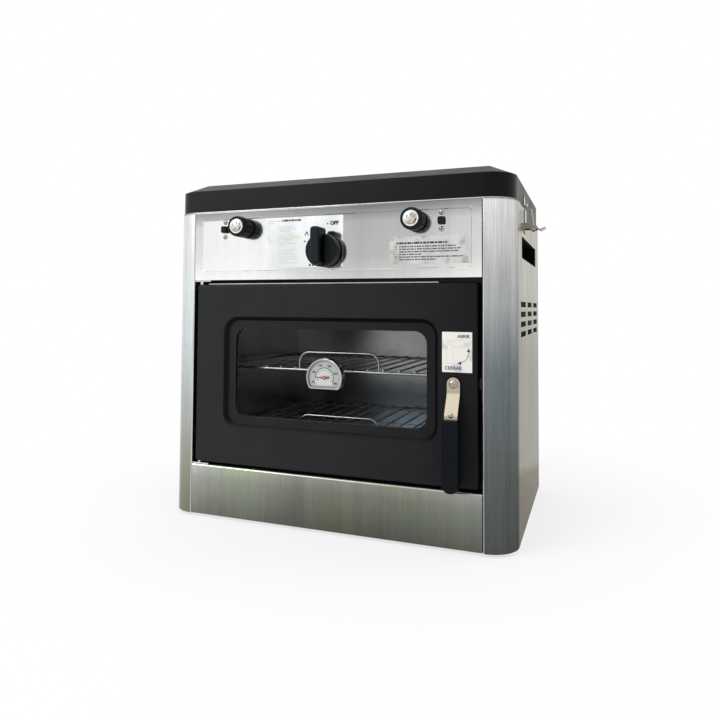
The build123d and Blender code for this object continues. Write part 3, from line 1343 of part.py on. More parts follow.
# Igniters, their push buttons and screws
panel_back = front_y + SHEET
with BuildPart() as igniter_bodies:
    with BuildSketch(front_plane(panel_back)):
        with Locations((igniter_x, igniter_z)):
            Rectangle(IGNITER_FLANGE_WIDTH, IGNITER_SCREW_SPACING + 2 * IGNITER_FLANGE_MARGIN)
    extrude(amount=-IGNITER_FLANGE)
    with BuildSketch(front_plane(panel_back)):
        with Locations((igniter_x, igniter_z)):
            Circle(IGNITER_RADIUS)
    extrude(amount=-(IGNITER_LENGTH - SHEET))
    with BuildSketch(front_plane(panel_back)):
        with Locations((igniter_x, igniter_z)):
            Rectangle(BUTTON_WIDTH + 2 * BUTTON_FIT, BUTTON_HEIGHT + 2 * BUTTON_FIT)
    extrude(amount=-(BUTTON_STEM + BUTTON_TRAVEL + BUTTON_FIT), mode=Mode.SUBTRACT)
    with BuildSketch(front_plane(panel_back)):
        with Locations((igniter_x, igniter_z)):
            with GridLocations(1, IGNITER_SCREW_SPACING, 1, 2):
                Rectangle(2 * (SCREW_RADIUS + SPINDLE_FIT), 2 * (SCREW_RADIUS + SPINDLE_FIT))
    extrude(amount=-IGNITER_FLANGE, mode=Mode.SUBTRACT)
    mirror(about=Plane.YZ)
pieces["igniter_bodies"] = igniter_bodies

for side_name, side in (("left", -1), ("right", 1)):
    x = side * igniter_x
    with BuildPart() as button:
        with BuildSketch(front_plane(front_y + BUTTON_STEM)):
            with Locations((x, igniter_z)):
                RectangleRounded(BUTTON_WIDTH, BUTTON_HEIGHT, BUTTON_CORNER)
        extrude(amount=BUTTON_STEM + BUTTON_REACH)
        chamfer(button.edges().group_by(Axis.Y)[0], length=BUTTON_CHAMFER)
    pieces[f"igniter_button_{side_name}"] = button

with BuildPart() as panel_screws:
    with BuildSketch(front_plane(front_y)):
        with Locations((igniter_x, igniter_z)):
            with GridLocations(1, IGNITER_SCREW_SPACING, 1, 2):
                RegularPolygon(SCREW_HEAD_RADIUS, SCREW_SIDES)
    extrude(amount=SCREW_HEAD_HEIGHT)
    with BuildSketch(front_plane(front_y)):
        with Locations((igniter_x, igniter_z)):
            with GridLocations(1, IGNITER_SCREW_SPACING, 1, 2):
                RegularPolygon(SCREW_RADIUS, SCREW_SIDES)
    extrude(amount=-(IGNITER_FLANGE + 3 * SHEET))
    mirror(about=Plane.YZ)
pieces["panel_screws"] = panel_screws

# Manifold with its bosses and the feed pipe to the rear
manifold_y = front_y + MANIFOLD_DEPTH
with BuildPart() as gas_manifold:
    with BuildLine(Plane.XY.offset(manifold_z)) as feed_path:
        FilletPolyline(
            (knob_x + MANIFOLD_OVERHANG, manifold_y),
            (feed_x, manifold_y),
            (feed_x, back_y),
            radius=FEED_BEND,
        )
    wire_along(feed_path.wire(), MANIFOLD_RADIUS, (0, 0, 1))
    with BuildSketch(Plane.XY.offset(manifold_z)):
        with Locations((-knob_x, manifold_y), (knob_x, manifold_y)):
            RegularPolygon(BOSS_RADIUS, WIRE_SIDES)
    extrude(amount=burner_neck_z - manifold_z)
    with BuildSketch(Plane.XY.offset(manifold_z)):
        with Locations((0, manifold_y)):
            RegularPolygon(BOSS_RADIUS, WIRE_SIDES)
    extrude(amount=oven_neck_z - manifold_z)
pieces["gas_manifold"] = gas_manifold

with BuildPart() as gas_inlet:
    with BuildSketch(front_plane(back_y)):
        with Locations((feed_x, manifold_z)):
            RegularPolygon(INLET_HEX / 2, 6, major_radius=False)
    extrude(amount=-INLET_HEX_LENGTH)
    with BuildSketch(front_plane(back_y + INLET_HEX_LENGTH)):
        with Locations((feed_x, manifold_z)):
            Circle(INLET_THREAD_RADIUS)
    extrude(amount=-INLET_THREAD_LENGTH)
    with BuildSketch(front_plane(back_y)):
        with Locations((feed_x, manifold_z)):
            Circle(INLET_BORE)
    extrude(amount=-(INLET_HEX_LENGTH + INLET_THREAD_LENGTH), mode=Mode.SUBTRACT)
pieces["gas_inlet"] = gas_inlet

# Supply pipe from the oven valve down to the oven burner
pipe_start_y = front_y + VALVE_BACK + JET_LENGTH
pipe_y = front_y + OVEN_PIPE_DEPTH + OVEN_PIPE_BEND
pipe_z = base_z + OVEN_PIPE_DROP
with BuildPart() as oven_pipe:
    with BuildLine() as pipe_path:
        FilletPolyline(
            (0, pipe_start_y, oven_knob_z),
            (0, pipe_y, oven_knob_z),
            (0, pipe_y, pipe_z),
            (-OVEN_PIPE_X, pipe_y, pipe_z),
            (-OVEN_PIPE_X, pipe_y, oven_burner_z),
            (-OVEN_PIPE_X, oven_burner_y, oven_burner_z),
            (burner_inlet_x, oven_burner_y, oven_burner_z),
            radius=OVEN_PIPE_BEND,
        )
    wire_along(pipe_path.wire(), OVEN_PIPE_RADIUS)
pieces["oven_pipe"] = oven_pipe

# Side latches: base with ears, lever and wire bail, drawn on the right and mirrored to the left
latch_y = front_y + LATCH_DEPTH
plate_top = seam_z - LATCH_PLATE_DROP
pivot_x = half_width + LATCH_PIVOT_OUT
pivot_z = seam_z - LATCH_PIVOT_DROP
lever_tilt = math.radians(LEVER_ANGLE)
along_x = math.cos(lever_tilt)
along_z = -math.sin(lever_tilt)
bail_x = pivot_x + BAIL_PIVOT * along_x
bail_z = pivot_z + BAIL_PIVOT * along_z
lean = math.radians(BAIL_LEAN)
head_x = bail_x - BAIL_LENGTH * math.sin(lean)
head_z = bail_z + BAIL_LENGTH * math.cos(lean)
lever_half = LEVER_WIDTH / 2
latch_half = LATCH_PLATE_WIDTH / 2


def lever_point(along, above):
    """Point in the plane of the lever's section, along and above the lever from its pivot."""
    return (pivot_x + along * along_x - above * along_z, pivot_z + along * along_z + above * along_x)


with BuildPart() as latch_base:
    with BuildSketch(Plane.YZ.offset(half_width)):
        rectangle_between(
            latch_y - latch_half,
            latch_y + latch_half,
            plate_top - LATCH_PLATE_HEIGHT,
            plate_top,
            LATCH_CORNER,
        )
    extrude(amount=LATCH_SHEET)
    for side in (-1, 1):
        with BuildSketch(front_plane(latch_y + side * (latch_half - LATCH_SHEET / 2) + LATCH_SHEET / 2)):
            rectangle_between(half_width, pivot_x, pivot_z - LATCH_EAR_HALF, pivot_z + LATCH_EAR_HALF)
            with Locations((pivot_x, pivot_z)):
                RegularPolygon(LATCH_EAR_RADIUS, WIRE_SIDES)
        extrude(amount=LATCH_SHEET)
    with BuildSketch(front_plane(latch_y + latch_half)):
        with Locations((pivot_x, pivot_z)):
            Circle(LATCH_PIN_RADIUS)
    extrude(amount=LATCH_PLATE_WIDTH)

with BuildPart() as latch_bases:
    add(latch_base.part)
    mirror(latch_base.part, about=Plane.YZ)
pieces["latch_bases"] = latch_bases

with BuildPart() as latch_lever:
    with BuildSketch(front_plane(latch_y + lever_half)):
        with Locations((pivot_x, pivot_z)):
            RegularPolygon(LEVER_CHEEK_RADIUS, WIRE_SIDES)
        with BuildLine():
            Polyline(
                lever_point(-LATCH_SHEET, LEVER_PLATE_RISE),
                lever_point(LEVER_LENGTH, LEVER_PLATE_RISE),
                lever_point(LEVER_LENGTH + LEVER_TAB_RUN, LEVER_PLATE_RISE + LEVER_TAB),
                lever_point(LEVER_LENGTH + LEVER_TAB_RUN - LATCH_SHEET, LEVER_PLATE_RISE + LEVER_TAB),
                lever_point(LEVER_LENGTH - LATCH_SHEET, LEVER_PLATE_RISE + LATCH_SHEET),
                lever_point(-LATCH_SHEET, LEVER_PLATE_RISE + LATCH_SHEET),
                close=True,
            )
        make_face()
    extrude(amount=LEVER_WIDTH)
    with BuildSketch(front_plane(latch_y + lever_half)):
        with BuildLine():
            Polyline(
                lever_point(0.0, -LEVER_CHEEK_RADIUS),
                lever_point(BAIL_PIVOT, -LEVER_CHEEK_RADIUS),
                lever_point(BAIL_PIVOT + LEVER_CHEEK_RUN, LEVER_PLATE_RISE),
                lever_point(-LATCH_SHEET, LEVER_PLATE_RISE),
                close=True,
            )
        make_face()
    extrude(amount=LEVER_WIDTH)
    with BuildSketch(front_plane(latch_y + lever_half - LATCH_SHEET)):
        with BuildLine():
            Polyline(
                lever_point(-2 * LEVER_CHEEK_RADIUS, -2 * LEVER_CHEEK_RADIUS),
                lever_point(BAIL_PIVOT + 2 * LEVER_CHEEK_RUN, -2 * LEVER_CHEEK_RADIUS),
                lever_point(BAIL_PIVOT + 2 * LEVER_CHEEK_RUN, LEVER_PLATE_RISE),
                lever_point(-2 * LEVER_CHEEK_RADIUS, LEVER_PLATE_RISE),
                close=True,
            )
        make_face()
    extrude(amount=LEVER_WIDTH - 2 * LATCH_SHEET, mode=Mode.SUBTRACT)
    with BuildSketch(front_plane(latch_y + lever_half)):
        with Locations((pivot_x, pivot_z)):
            Circle(LATCH_PIN_RADIUS + LATCH_PIN_FIT)
        with Locations((bail_x, bail_z)):
            Circle(BAIL_WIRE + BAIL_FIT)
    extrude(amount=LEVER_WIDTH, mode=Mode.SUBTRACT)
    with BuildSketch(Plane.YZ.offset(half_width)):
        notch_half = BAIL_HALF_WIDTH + BAIL_NOTCH
        rectangle_between(latch_y - notch_half, latch_y + notch_half, bail_z, bail_z + BAIL_NOTCH_HEIGHT)
    extrude(amount=bail_x + BAIL_NOTCH - half_width, mode=Mode.SUBTRACT)
pieces["latch_lever_right"] = latch_lever

with BuildPart() as latch_bail:
    with BuildLine() as bail_path:
        FilletPolyline(
            (bail_x, latch_y - lever_half, bail_z),
            (bail_x, latch_y - BAIL_HALF_WIDTH, bail_z),
            (head_x, latch_y - BAIL_HALF_WIDTH, head_z),
            (head_x, latch_y + BAIL_HALF_WIDTH, head_z),
            (bail_x, latch_y + BAIL_HALF_WIDTH, bail_z),
            (bail_x, latch_y + lever_half, bail_z),
            radius=[BAIL_FOOT_BEND, BAIL_HEAD_BEND, BAIL_HEAD_BEND, BAIL_FOOT_BEND],
        )
    wire_along(bail_path.wire(), BAIL_WIRE, (math.cos(lean), 0, math.sin(lean)))
pieces["latch_bail_right"] = latch_bail

for moving_name in ("latch_lever", "latch_bail"):
    with BuildPart() as mirrored:
        mirror(pieces[f"{moving_name}_right"].part, about=Plane.YZ)
    pieces[f"{moving_name}_left"] = mirrored

strike_x = half_width - LID_INSET
strike_z = seam_z + STRIKE_RISE
with BuildPart() as latch_strikes:
    with BuildSketch(front_plane(latch_y + STRIKE_WIDTH / 2)):
        with BuildLine():
            Polyline(
                (strike_x, strike_z),
                (strike_x + STRIKE_REACH, strike_z),
                (strike_x + STRIKE_REACH, strike_z + STRIKE_LIP),
                (strike_x + STRIKE_REACH - LATCH_SHEET, strike_z + STRIKE_LIP),
                (strike_x + STRIKE_REACH - LATCH_SHEET, strike_z + LATCH_SHEET),
                (strike_x + LATCH_SHEET, strike_z + LATCH_SHEET),
                (strike_x + LATCH_SHEET, strike_z + STRIKE_HEIGHT),
                (strike_x, strike_z + STRIKE_HEIGHT),
                close=True,
            )
        make_face()
    extrude(amount=STRIKE_WIDTH)
    mirror(about=Plane.YZ)
pieces["latch_strikes"] = latch_strikes

# Spark electrodes beside the burners, and the thermocouple and electrode of the oven burner
electrode_y = burner_y - BURNER_FLANGE_RADIUS - ELECTRODE_GAP
probe_y = oven_burner_y - OVEN_BURNER_RADIUS - PROBE_GAP
with BuildPart() as electrodes:
    with BuildSketch(Plane.XY.offset(well_top_z)):
        with Locations((-knob_x, electrode_y), (knob_x, electrode_y)):
            RegularPolygon(ELECTRODE_RADIUS, WIRE_SIDES)
    extrude(amount=ELECTRODE_HEIGHT)
    with BuildSketch(Plane.XY.offset(well_top_z)):
        with Locations((-knob_x, electrode_y), (knob_x, electrode_y)):
            RegularPolygon(ELECTRODE_PIN_RADIUS, WIRE_SIDES)
    extrude(amount=ELECTRODE_PIN_HEIGHT)
    with BuildSketch(Plane.XY.offset(cavity_z0)):
        with Locations((-PROBE_X, probe_y)):
            RegularPolygon(ELECTRODE_RADIUS, WIRE_SIDES)
    extrude(amount=ELECTRODE_HEIGHT)
pieces["electrodes"] = electrodes

with BuildPart() as thermocouple:
    with BuildSketch(Plane.XY.offset(cavity_z0)):
        with Locations((PROBE_X, probe_y)):
            RegularPolygon(PROBE_RADIUS, WIRE_SIDES)
    extrude(amount=PROBE_HEIGHT)
pieces["thermocouple"] = thermocouple

for piece_name, piece in pieces.items():
    piece.part.label = piece_name
    export_step(piece.part, f"parts/{piece_name}.step")
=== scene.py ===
"""Gas stove with oven: finishes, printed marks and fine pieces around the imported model, with its camera and studio."""

from __future__ import annotations

import json
import logging
import math
from dataclasses import dataclass, field
from enum import Enum
from typing import Any, Iterable, Sequence, Union

import bmesh
import bpy
from mathutils import Matrix, Vector

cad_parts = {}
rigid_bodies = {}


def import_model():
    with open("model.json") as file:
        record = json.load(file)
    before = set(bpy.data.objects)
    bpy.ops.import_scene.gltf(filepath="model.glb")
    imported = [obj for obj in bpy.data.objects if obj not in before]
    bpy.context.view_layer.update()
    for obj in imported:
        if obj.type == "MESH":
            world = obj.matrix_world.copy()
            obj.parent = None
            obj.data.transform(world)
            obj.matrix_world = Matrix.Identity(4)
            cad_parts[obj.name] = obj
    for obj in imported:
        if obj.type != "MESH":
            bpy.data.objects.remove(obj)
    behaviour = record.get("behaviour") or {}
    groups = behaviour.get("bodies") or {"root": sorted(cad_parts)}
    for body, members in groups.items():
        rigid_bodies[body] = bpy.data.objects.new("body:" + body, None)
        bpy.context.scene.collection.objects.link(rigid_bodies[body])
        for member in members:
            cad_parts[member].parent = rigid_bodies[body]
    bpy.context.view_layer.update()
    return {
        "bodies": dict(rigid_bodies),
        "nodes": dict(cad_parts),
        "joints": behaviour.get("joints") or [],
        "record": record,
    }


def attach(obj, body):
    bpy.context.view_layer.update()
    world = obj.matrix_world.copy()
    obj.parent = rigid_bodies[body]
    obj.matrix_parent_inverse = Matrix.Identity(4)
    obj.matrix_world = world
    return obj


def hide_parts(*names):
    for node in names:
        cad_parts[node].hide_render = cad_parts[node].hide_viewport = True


LOG = logging.getLogger("stove")
Colour = tuple[float, float, float]
Spot = tuple[float, float]
Place = tuple[float, float, float]
Box = tuple[float, float, float, float]
Tones = tuple[tuple[float, Colour], ...]
Value = Union["Signal", float, Sequence[float]]

MM = 0.001  # metres to the millimetre
PRINT = 0.06  # thickness of a printed mark, in millimetres
WELD = 1e-5  # distance within which corners become one, in millimetres
SHARP = math.radians(35.0)  # angle from which an edge is sharp
CAPITAL = 0.72  # height of a capital as a share of the type size
ARC_STEP = 6.0  # degrees to a side of a flat arc
FORWARD = Vector((0, -1, 0))
SKEW = Vector((0.31, 0.17, 0.93))  # a direction that no wire follows

# Places in metres between which one painted tone of light or shade turns into another.
POST_BEND = (-0.128, -0.106)  # depths where the front post turns into the side
EDGE_X = (0.2068, 0.2086)  # half widths where the painted highlight on the inner edge of the post ends
EDGE_Y = (-0.1515, -0.1495)  # depths where that painted highlight ends
PAINTED_REFLECTION_EDGE = 0.003  # width of the soft edge of a patch of painted reflection
RING_FLOOR = (0.12, 0.136)  # heights where the painted highlight on the lower run of the door's pressed ring ends
RING_LIP = (-0.1434, -0.1428)  # depths where that run gets its painted highlight


class Grain(Enum):
    """Direction in which a metal sheet was brushed."""

    ACROSS = (14.0, 900.0, 900.0)
    DEEP = (900.0, 14.0, 900.0)
    UPRIGHT = (900.0, 900.0, 14.0)


class Facing(Enum):
    """Plane in which a flat outline is drawn: its right, its up and the way it faces."""

    FRONT = (Vector((1, 0, 0)), Vector((0, 0, 1)), Vector((0, -1, 0)))
    RIGHT = (Vector((0, 1, 0)), Vector((0, 0, 1)), Vector((1, 0, 0)))
    LEFT = (Vector((0, -1, 0)), Vector((0, 0, 1)), Vector((-1, 0, 0)))


class Signal:
    """Output of a shader node, on which sums can be written."""

    def __init__(self, graph: "ShaderGraph", socket: bpy.types.NodeSocket) -> None:
        """Keep the graph and the socket."""
        self.graph = graph
        self.socket = socket

    def math(self, operation: str, first: Value, second: Value = 0.0, clamp: bool = False) -> "Signal":
        """Add a Math node.

        Args:
            operation: The node's operation.
            first: First value.
            second: Second value.
            clamp: Whether the result is kept between 0 and 1.

        Returns:
            The result.
        """
        return self.graph.node("ShaderNodeMath", {"operation": operation, "use_clamp": clamp}, {0: first, 1: second})

    def __add__(self, other: Value) -> "Signal":
        """Sum."""
        return self.math("ADD", self, other)

    def __radd__(self, other: Value) -> "Signal":
        """Sum with a number on the left."""
        return self.math("ADD", other, self)

    def __sub__(self, other: Value) -> "Signal":
        """Difference."""
        return self.math("SUBTRACT", self, other)

    def __rsub__(self, other: Value) -> "Signal":
        """Difference from a number."""
        return self.math("SUBTRACT", other, self)

    def __mul__(self, other: Value) -> "Signal":
        """Product."""
        return self.math("MULTIPLY", self, other)

    def __rmul__(self, other: Value) -> "Signal":
        """Product with a number on the left."""
        return self.math("MULTIPLY", other, self)

    def times(self, other: Value) -> "Signal":
        """A colour times another."""
        return self.graph.node("ShaderNodeVectorMath", {"operation": "MULTIPLY"}, {0: self, 1: other})

    def scaled(self, gain: Value) -> "Signal":
        """A colour times a number."""
        return self.graph.node("ShaderNodeVectorMath", {"operation": "SCALE"}, {0: self, "Scale": gain})

    def absolute(self) -> "Signal":
        """The same value without its sign."""
        return self.math("ABSOLUTE", self)

    def clamped(self) -> "Signal":
        """The same value, kept between 0 and 1."""
        return self.math("ADD", self, 0.0, clamp=True)

    def eased(self, low: float, high: float) -> "Signal":
        """Smooth step.

        Args:
            low: Value that gives 0.
            high: Value that gives 1.

        Returns:
            The stepped value.
        """
        return self.graph.node("ShaderNodeMapRange", {"interpolation_type": "SMOOTHSTEP"}, {0: self, 1: low, 2: high})


class ShaderGraph:
    """Node tree of one material, or of the world."""

    def __init__(self, tree: bpy.types.NodeTree) -> None:
        """Empty the tree."""
        self.tree = tree
        self.tree.nodes.clear()

    def node(
        self, kind: str, settings: dict[str, Any] | None = None, inputs: dict[Any, Value] | None = None, output: Any = 0
    ) -> Signal:
        """Add a node.

        Args:
            kind: Type of the node.
            settings: Its properties, with a ramp's stops as (position, colour) under "stops".
            inputs: Values or signals of its sockets.
            output: Name or number of the output that is returned.

        Returns:
            The chosen output.
        """
        made = self.tree.nodes.new(kind)
        for key, value in (settings or {}).items():
            if key == "stops":
                elements = made.color_ramp.elements
                elements[0].position, elements[0].color = value[0]
                elements[-1].position, elements[-1].color = value[-1]
                for place, colour in value[1:-1]:
                    elements.new(place).color = colour
            else:
                setattr(made, key, value)
        for key, value in (inputs or {}).items():
            if isinstance(value, Signal):
                self.tree.links.new(value.socket, made.inputs[key])
            else:
                made.inputs[key].default_value = value
        return Signal(self, made.outputs[output])

    def place(self, scale: Sequence[float]) -> Signal:
        """Coordinates of the surface in the row frame.

        Args:
            scale: Cells to the metre along each axis.

        Returns:
            The scaled coordinates.
        """
        spot = self.node("ShaderNodeTexCoord", output="Object")
        return self.node("ShaderNodeVectorMath", {"operation": "MULTIPLY"}, {0: spot, 1: tuple(scale)})

    def along(self, axis: str) -> Signal:
        """Distance from the origin along one axis of the row frame, in metres."""
        spot = self.node("ShaderNodeTexCoord", output="Object")
        return self.node("ShaderNodeSeparateXYZ", None, {0: spot}, axis)

    def ramp(self, value: Signal, stops: Sequence[tuple[float, Colour]]) -> Signal:
        """Colour that changes with a value.

        Args:
            value: The value.
            stops: Values with their colours, from the lowest.

        Returns:
            The colour.
        """
        low, high = stops[0][0], stops[-1][0]
        places = [((place - low) / (high - low), (*colour, 1.0)) for place, colour in stops]
        share = (value - low) * (1.0 / (high - low))
        return self.node("ShaderNodeValToRGB", {"stops": places}, {0: share})

    def noise(self, scale: Sequence[float] | float, detail: float = 2.0, roughness: float = 0.5) -> Signal:
        """Noise in the row frame.

        Args:
            scale: Cells to the metre, along each axis or alike.
            detail: Octaves.
            roughness: Weight of the finer octaves.

        Returns:
            Noise from 0 to 1.
        """
        cells = (scale,) * 3 if isinstance(scale, (int, float)) else scale
        inputs = {"Vector": self.place(cells), "Scale": 1.0, "Detail": detail, "Roughness": roughness}
        return self.node("ShaderNodeTexNoise", None, inputs)

    def blend(self, factor: Value, first: Value, second: Value) -> Signal:
        """Mix two colours.

        Args:
            factor: Share of the second.
            first: Colour at 0.
            second: Colour at 1.

        Returns:
            The mixed colour.
        """
        pair = [value if isinstance(value, Signal) else (*value[:3], 1.0) for value in (first, second)]
        return self.node("ShaderNodeMix", {"data_type": "RGBA"}, {0: factor, 6: pair[0], 7: pair[1]}, 2)

    def relief(self, height: Signal, strength: float, distance: float) -> Signal:
        """Bump.

        Args:
            height: Height from 0 to 1.
            strength: Strength of the bump.
            distance: Height in metres.

        Returns:
            The bent normal.
        """
        return self.node("ShaderNodeBump", None, {"Strength": strength, "Distance": distance, "Height": height})

    def principled(self, **inputs: Value) -> Signal:
        """Add the main shader.

        Args:
            **inputs: Sockets, with underscores for spaces.

        Returns:
            The shader.
        """
        named = {key.replace("_", " ").replace("Ior", "IOR"): value for key, value in inputs.items()}
        return self.node("ShaderNodeBsdfPrincipled", None, named)

    def close(self, shader: Signal, kind: str = "ShaderNodeOutputMaterial") -> None:
        """Lead a shader to the output.

        Args:
            shader: The shader.
            kind: Type of the output node.
        """
        made = self.tree.nodes.new(kind)
        self.tree.links.new(shader.socket, made.inputs["Surface"])


@dataclass(frozen=True)
class Finish:
    """A finish, made once and shared by the pieces that have it."""

    name: str

    def material(self) -> bpy.types.Material:
        """The Blender material of this finish."""
        made = bpy.data.materials.get("finish_" + self.name)
        if made is None:
            made = bpy.data.materials.new("finish_" + self.name)
            made.use_nodes = True
            graph = ShaderGraph(made.node_tree)
            graph.close(self.shader(graph))
        return made

    def shader(self, graph: ShaderGraph) -> Signal:
        """Build the shader."""
        raise NotImplementedError


@dataclass(frozen=True)
class BrushedSteel(Finish):
    """Stainless sheet, brushed one way, with painted reflection and shade: a tone that changes over its height and
    width.
    """

    grain: Grain = Grain.UPRIGHT
    # tones by height and across the width: painted reflection and shade over the steel's own colour
    heights: Tones = ((0.0, (0.5, 0.5, 0.49)), (0.48, (0.6, 0.6, 0.59)))
    spread: Tones = ()
    post: Tones = ()
    rough: float = 0.3
    streak: float = 0.5
    cloud: float = 0.35
    blush: Colour = (1.0, 1.0, 1.0)
    bump: float = 0.16
    edge: Colour = (1.0, 1.0, 1.0)
    gap_shade_depth: float | None = None
    pane: Box | None = None
    # tilts the painted tones by height over the sheet's depth
    lean: float = 0.0

    def shader(self, graph: ShaderGraph) -> Signal:
        """Build the shader."""
        fine = graph.noise(self.grain.value, 3.0, 0.65)
        band = graph.noise([max(cells / 16.0, 1.2) for cells in self.grain.value], 2.0, 0.5)
        stain = graph.noise(11.0, 4.0, 0.6)
        tone = self.tone(graph)
        tone = graph.blend(stain.eased(0.45, 0.7), tone, tone.times(self.blush))
        gain = 1.0 + self.streak * (fine - 0.5) + self.streak * (band - 0.5) + self.cloud * (stain - 0.5)
        return graph.principled(
            Base_Color=tone.scaled(gain),
            Metallic=1.0,
            Roughness=(self.rough * (0.7 + 0.4 * fine + 0.2 * stain)).clamped(),
            Normal=graph.relief(fine, self.bump, 0.0004),
            Specular_Tint=(*self.edge, 1.0),
        )

    def height(self, graph: ShaderGraph) -> Signal:
        """Height that the painted tones of reflection and shade follow, which may lean over the sheet's depth."""
        return graph.along("Z") + self.lean * graph.along("Y") if self.lean else graph.along("Z")

    def tone(self, graph: ShaderGraph) -> Signal:
        """Colour of the sheet before its grain, with its painted reflection and shade.

        Args:
            graph: Graph to add the nodes to.

        Returns:
            The colour.
        """
        high = graph.along("Z")
        tone = graph.ramp(self.height(graph), self.heights)
        # front post: painted reflection by height, ending in a painted shadow line under the lid's rim
        if self.post:
            deep = graph.along("Y")
            tone = graph.blend(deep.eased(*POST_BEND), graph.ramp(high, self.post), tone)
            # painted highlight along the post's inner edge, next to the front panels
            bend = 1.0 - graph.along("X").absolute().eased(*EDGE_X)
            tone = graph.blend(bend * (1.0 - deep.eased(*EDGE_Y)), tone, (0.6, 0.6, 0.59))
        # painted reflection and shade across the width
        if self.spread:
            tone = tone.times(graph.ramp(graph.along("X"), self.spread))
        # a bright box of painted reflection
        if self.pane:
            left, low, right, top = self.pane
            x, painted_fade = graph.along("X"), 10.0 * PAINTED_REFLECTION_EDGE
            across = x.eased(left, left + PAINTED_REFLECTION_EDGE) * (1.0 - x.eased(right - painted_fade, right))
            upright = high.eased(low, low + PAINTED_REFLECTION_EDGE) * (1.0 - high.eased(top - PAINTED_REFLECTION_EDGE, top))
            tone = graph.blend(0.75 * across * upright, tone, (0.95, 0.96, 0.95))
        # painted shade: the liner's front flange goes nearly black where the gap round the door lies in shade
        if self.gap_shade_depth is not None:
            tone = tone.scaled(0.03 + 0.97 * graph.along("Y").eased(self.gap_shade_depth - 0.0006, self.gap_shade_depth))
        return tone


@dataclass(frozen=True)
class SatinPaint(Finish):
    """Stoved paint with a fine orange peel and a little dust, with painted shade over its width and painted shade and
    highlight in a pressed step.
    """

    colour: Colour = (0.03, 0.032, 0.034)
    dust: Colour = (0.07, 0.07, 0.068)
    rough: float = 0.42
    peel: float = 900.0
    coat: float = 0.0
    gloss: float = 0.2
    # depths of the pressed step that gets painted shade
    step: Spot | None = None
    # ramp over the width: painted shade
    painted_fade: Tones = ()

    def shader(self, graph: ShaderGraph) -> Signal:
        """Build the shader."""
        peel = graph.noise(self.peel, 2.0, 0.5)
        haze = graph.noise(14.0, 4.0, 0.6).eased(0.35, 0.8)
        base = graph.blend(haze * 0.5 + peel * 0.12, self.colour, self.dust)
        # painted shade in the pressed step, with a painted highlight on its lower run
        if self.step:
            deep = graph.along("Y")
            first, last = self.step
            inside = deep.eased(first, first + 0.0012) * (1.0 - deep.eased(last - 0.0004, last))
            low = 1.0 - graph.along("Z").eased(*RING_FLOOR)
            base = base.scaled(1.0 - inside * (0.85 - 2.0 * low) + 1.6 * low * deep.eased(*RING_LIP))
        # painted shade across the width
        if self.painted_fade:
            base = base.times(graph.ramp(graph.along("X"), self.painted_fade))
        return graph.principled(
            Base_Color=base,
            Roughness=(self.rough + 0.1 * (haze - 0.5) + 0.05 * (peel - 0.5)).clamped(),
            Normal=graph.relief(peel, 0.12, 0.0003),
            Coat_Weight=self.coat,
            Coat_Roughness=0.2,
            Specular_Ior_Level=self.gloss,
        )


@dataclass(frozen=True)
class Moulded(Finish):
    """Moulded plastic, rubber or ceramic with a spark-eroded grain, and painted shade on its sides that face away from
    front and back.
    """

    colour: Colour = (0.018, 0.019, 0.02)
    worn: Colour = (0.05, 0.05, 0.05)
    rough: float = 0.42
    grain: float = 2600.0
    depth: float = 0.2
    gloss: float = 0.2
    # share of the colour kept on sides that face sideways: painted shade
    flank_shade: float = 1.0

    def shader(self, graph: ShaderGraph) -> Signal:
        """Build the shader."""
        grain = graph.noise(self.grain, 2.0, 0.6)
        wear = graph.noise(60.0, 3.0, 0.6).eased(0.45, 0.8)
        # painted shade by facing: sides that face sideways get darker
        normal = graph.node("ShaderNodeNewGeometry", output="Normal")
        turned = graph.node("ShaderNodeSeparateXYZ", None, {0: normal}, "Y")
        base = graph.blend(wear * 0.4 + grain * 0.15, self.colour, self.worn)
        return graph.principled(
            Base_Color=base.scaled(self.flank_shade + (1.0 - self.flank_shade) * turned.absolute()),
            Roughness=(self.rough + 0.12 * (grain - 0.5) - 0.08 * wear).clamped(),
            Normal=graph.relief(grain, self.depth, 0.0002),
            Specular_Ior_Level=self.gloss,
        )


@dataclass(frozen=True)
class Plating(Finish):
    """Bright metal: nickel, chrome, brass, cast aluminium or bare steel, with handling marks."""

    colour: Colour = (0.7, 0.68, 0.64)
    dull: Colour = (0.4, 0.38, 0.35)
    rough: float = 0.2
    marks: float = 160.0
    depth: float = 0.08

    def shader(self, graph: ShaderGraph) -> Signal:
        """Build the shader."""
        fine = graph.noise(self.marks * 8.0, 3.0, 0.6)
        cloud = graph.noise(self.marks, 4.0, 0.6)
        return graph.principled(
            Base_Color=graph.blend((0.75 * cloud + 0.35 * fine).clamped(), self.colour, self.dull),
            Metallic=1.0,
            Roughness=(self.rough + 0.2 * (cloud - 0.45) + 0.08 * (fine - 0.5)).clamped(),
            Normal=graph.relief(fine, self.depth, 0.0003),
        )


@dataclass(frozen=True)
class OvenGlass(Finish):
    """Toughened glass, tinted, with a faint film."""

    tint: Colour = (0.93, 0.94, 0.94)

    def shader(self, graph: ShaderGraph) -> Signal:
        """Build the shader."""
        film = graph.noise(22.0, 4.0, 0.6).eased(0.3, 0.85)
        clear = graph.node("ShaderNodeBsdfTransparent", None, {"Color": (*self.tint, 1.0)})
        gloss = graph.principled(
            Base_Color=graph.blend(film, (0.02, 0.018, 0.016), (0.09, 0.08, 0.07)), Roughness=0.06, Ior=1.5
        )
        edge = graph.node("ShaderNodeFresnel", None, {"IOR": 1.22})
        return graph.node("ShaderNodeMixShader", None, {0: (edge + 0.06 * film).clamped(), 1: clear, 2: gloss})


